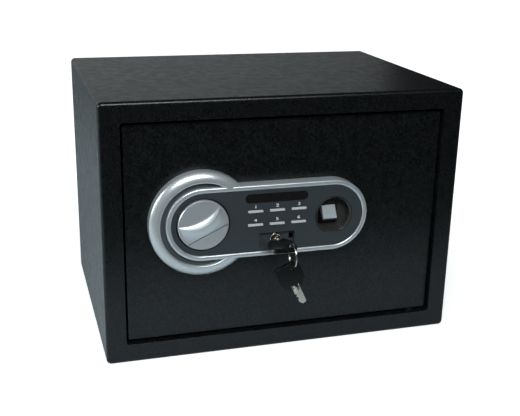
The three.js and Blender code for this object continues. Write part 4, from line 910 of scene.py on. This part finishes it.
# Studio: a dark room with a white sweep behind and to the left, so that metal and gloss show it there and stay
# dark on the right. The camera sees the room as white.
SWEEP_SIDE = (-0.6, 0.8, 0)
SWEEP_FROM, SWEEP_FULL = 0.45, 0.75
ROOM_LIGHT, SWEEP_LIGHT = 0.02, 0.17
SWEEP_TINT = (0.88, 0.98, 1.02, 1)
world = bpy.data.worlds.new("Studio")
bpy.context.scene.world = world
world.use_nodes = True
world_tree = world.node_tree
sky = world_tree.nodes["Background"]
world_ray = add_node(world_tree, "ShaderNodeLightPath")
world_place = add_node(world_tree, "ShaderNodeTexCoord")
sweep_side = add_node(
    world_tree,
    "ShaderNodeVectorMath",
    settings={"operation": "DOT_PRODUCT"},
    inputs={1: SWEEP_SIDE},
    links={0: world_place.outputs["Generated"]},
)
sweep_light = add_node(
    world_tree,
    "ShaderNodeMapRange",
    inputs={"From Min": SWEEP_FROM, "From Max": SWEEP_FULL, "To Min": ROOM_LIGHT, "To Max": SWEEP_LIGHT},
    links={"Value": sweep_side.outputs["Value"]},
)
mirrored = add_node(
    world_tree,
    "ShaderNodeMath",
    settings={"operation": "MAXIMUM"},
    links={0: world_ray.outputs["Is Glossy Ray"], 1: world_ray.outputs["Is Transmission Ray"]},
)
unseen = add_node(
    world_tree,
    "ShaderNodeMix",
    inputs={"A": ROOM_LIGHT},
    links={"Factor": mirrored.outputs["Value"], "B": sweep_light.outputs["Result"]},
)
strength = add_node(
    world_tree,
    "ShaderNodeMix",
    inputs={"B": 1.0},
    links={"Factor": world_ray.outputs["Is Camera Ray"], "A": unseen.outputs["Result"]},
)
world_tree.links.new(strength.outputs["Result"], sky.inputs["Strength"])
sweep_tone = add_node(
    world_tree,
    "ShaderNodeMix",
    settings={"data_type": "RGBA"},
    inputs={MIX_A: SWEEP_TINT, MIX_B: (1, 1, 1, 1)},
    links={"Factor": world_ray.outputs["Is Camera Ray"]},
)
world_tree.links.new(sweep_tone.outputs[MIX_RESULT], sky.inputs["Color"])

# Lamps: three softboxes with a faintly cool tone. One stands at the left and one high in front, and a broad,
# dim one behind the safe gives its top a grazing sheen.
LAMP_TINT = (0.93, 0.985, 1.0)
SAFE_MIDDLE = (0, 0, 0.12)


def softbox(name, place, aim, width, height, power):
    """A rectangular softbox at a place, turned to face a point."""
    light = bpy.data.lights.new(name, "AREA")
    light.shape = "RECTANGLE"
    light.size = width
    light.size_y = height
    light.energy = power
    light.color = LAMP_TINT
    box = bpy.data.objects.new(name, light)
    bpy.context.scene.collection.objects.link(box)
    box.location = place
    box.rotation_euler = (Vector(aim) - Vector(place)).to_track_quat("-Z", "Y").to_euler()
    box.visible_camera = False


softbox("softbox_left", place=(-1.6, -0.2, 0.7), aim=SAFE_MIDDLE, width=0.9, height=0.9, power=17.5)
softbox("softbox_front", place=(-0.15, -1.3, 1.25), aim=SAFE_MIDDLE, width=1.1, height=0.5, power=20)
softbox("softbox_back", place=(-0.1, 1.7, 0.5), aim=(-0.1, 0, 0.5), width=2.1, height=1.0, power=1.3)

# Camera: at the photograph's angle, a little to the left of the door and above it, on a 60 mm lens. Its place
# and its turn come from a camera model fitted to the safe's edges.
VIEW_AZIMUTH = math.radians(-16.94)
VIEW_HEIGHT = math.radians(18.57)
VIEW_ROLL = math.radians(1.17)
VIEW_PLACE = (-0.2503, -0.8546, 0.4011)
LENS = 59.7
NEAR_CLIP = 0.01
backward = Vector(
    (
        math.sin(VIEW_AZIMUTH) * math.cos(VIEW_HEIGHT),
        -math.cos(VIEW_AZIMUTH) * math.cos(VIEW_HEIGHT),
        math.sin(VIEW_HEIGHT),
    )
)
level = Vector((0, 0, 1)).cross(backward).normalized()
upright = backward.cross(level)
right = level * math.cos(VIEW_ROLL) + upright * math.sin(VIEW_ROLL)
up = upright * math.cos(VIEW_ROLL) - level * math.sin(VIEW_ROLL)
camera_data = bpy.data.cameras.new("camera")
camera_data.lens = LENS
camera_data.sensor_fit = "HORIZONTAL"
camera_data.clip_start = NEAR_CLIP
camera = bpy.data.objects.new("camera", camera_data)
bpy.context.scene.collection.objects.link(camera)
camera.matrix_world = Matrix(
    (
        (right.x, up.x, backward.x, VIEW_PLACE[0]),
        (right.y, up.y, backward.y, VIEW_PLACE[1]),
        (right.z, up.z, backward.z, VIEW_PLACE[2]),
        (0, 0, 0, 1),
    )
)
bpy.context.scene.camera = camera
bpy.context.scene.view_settings.view_transform = "Standard"
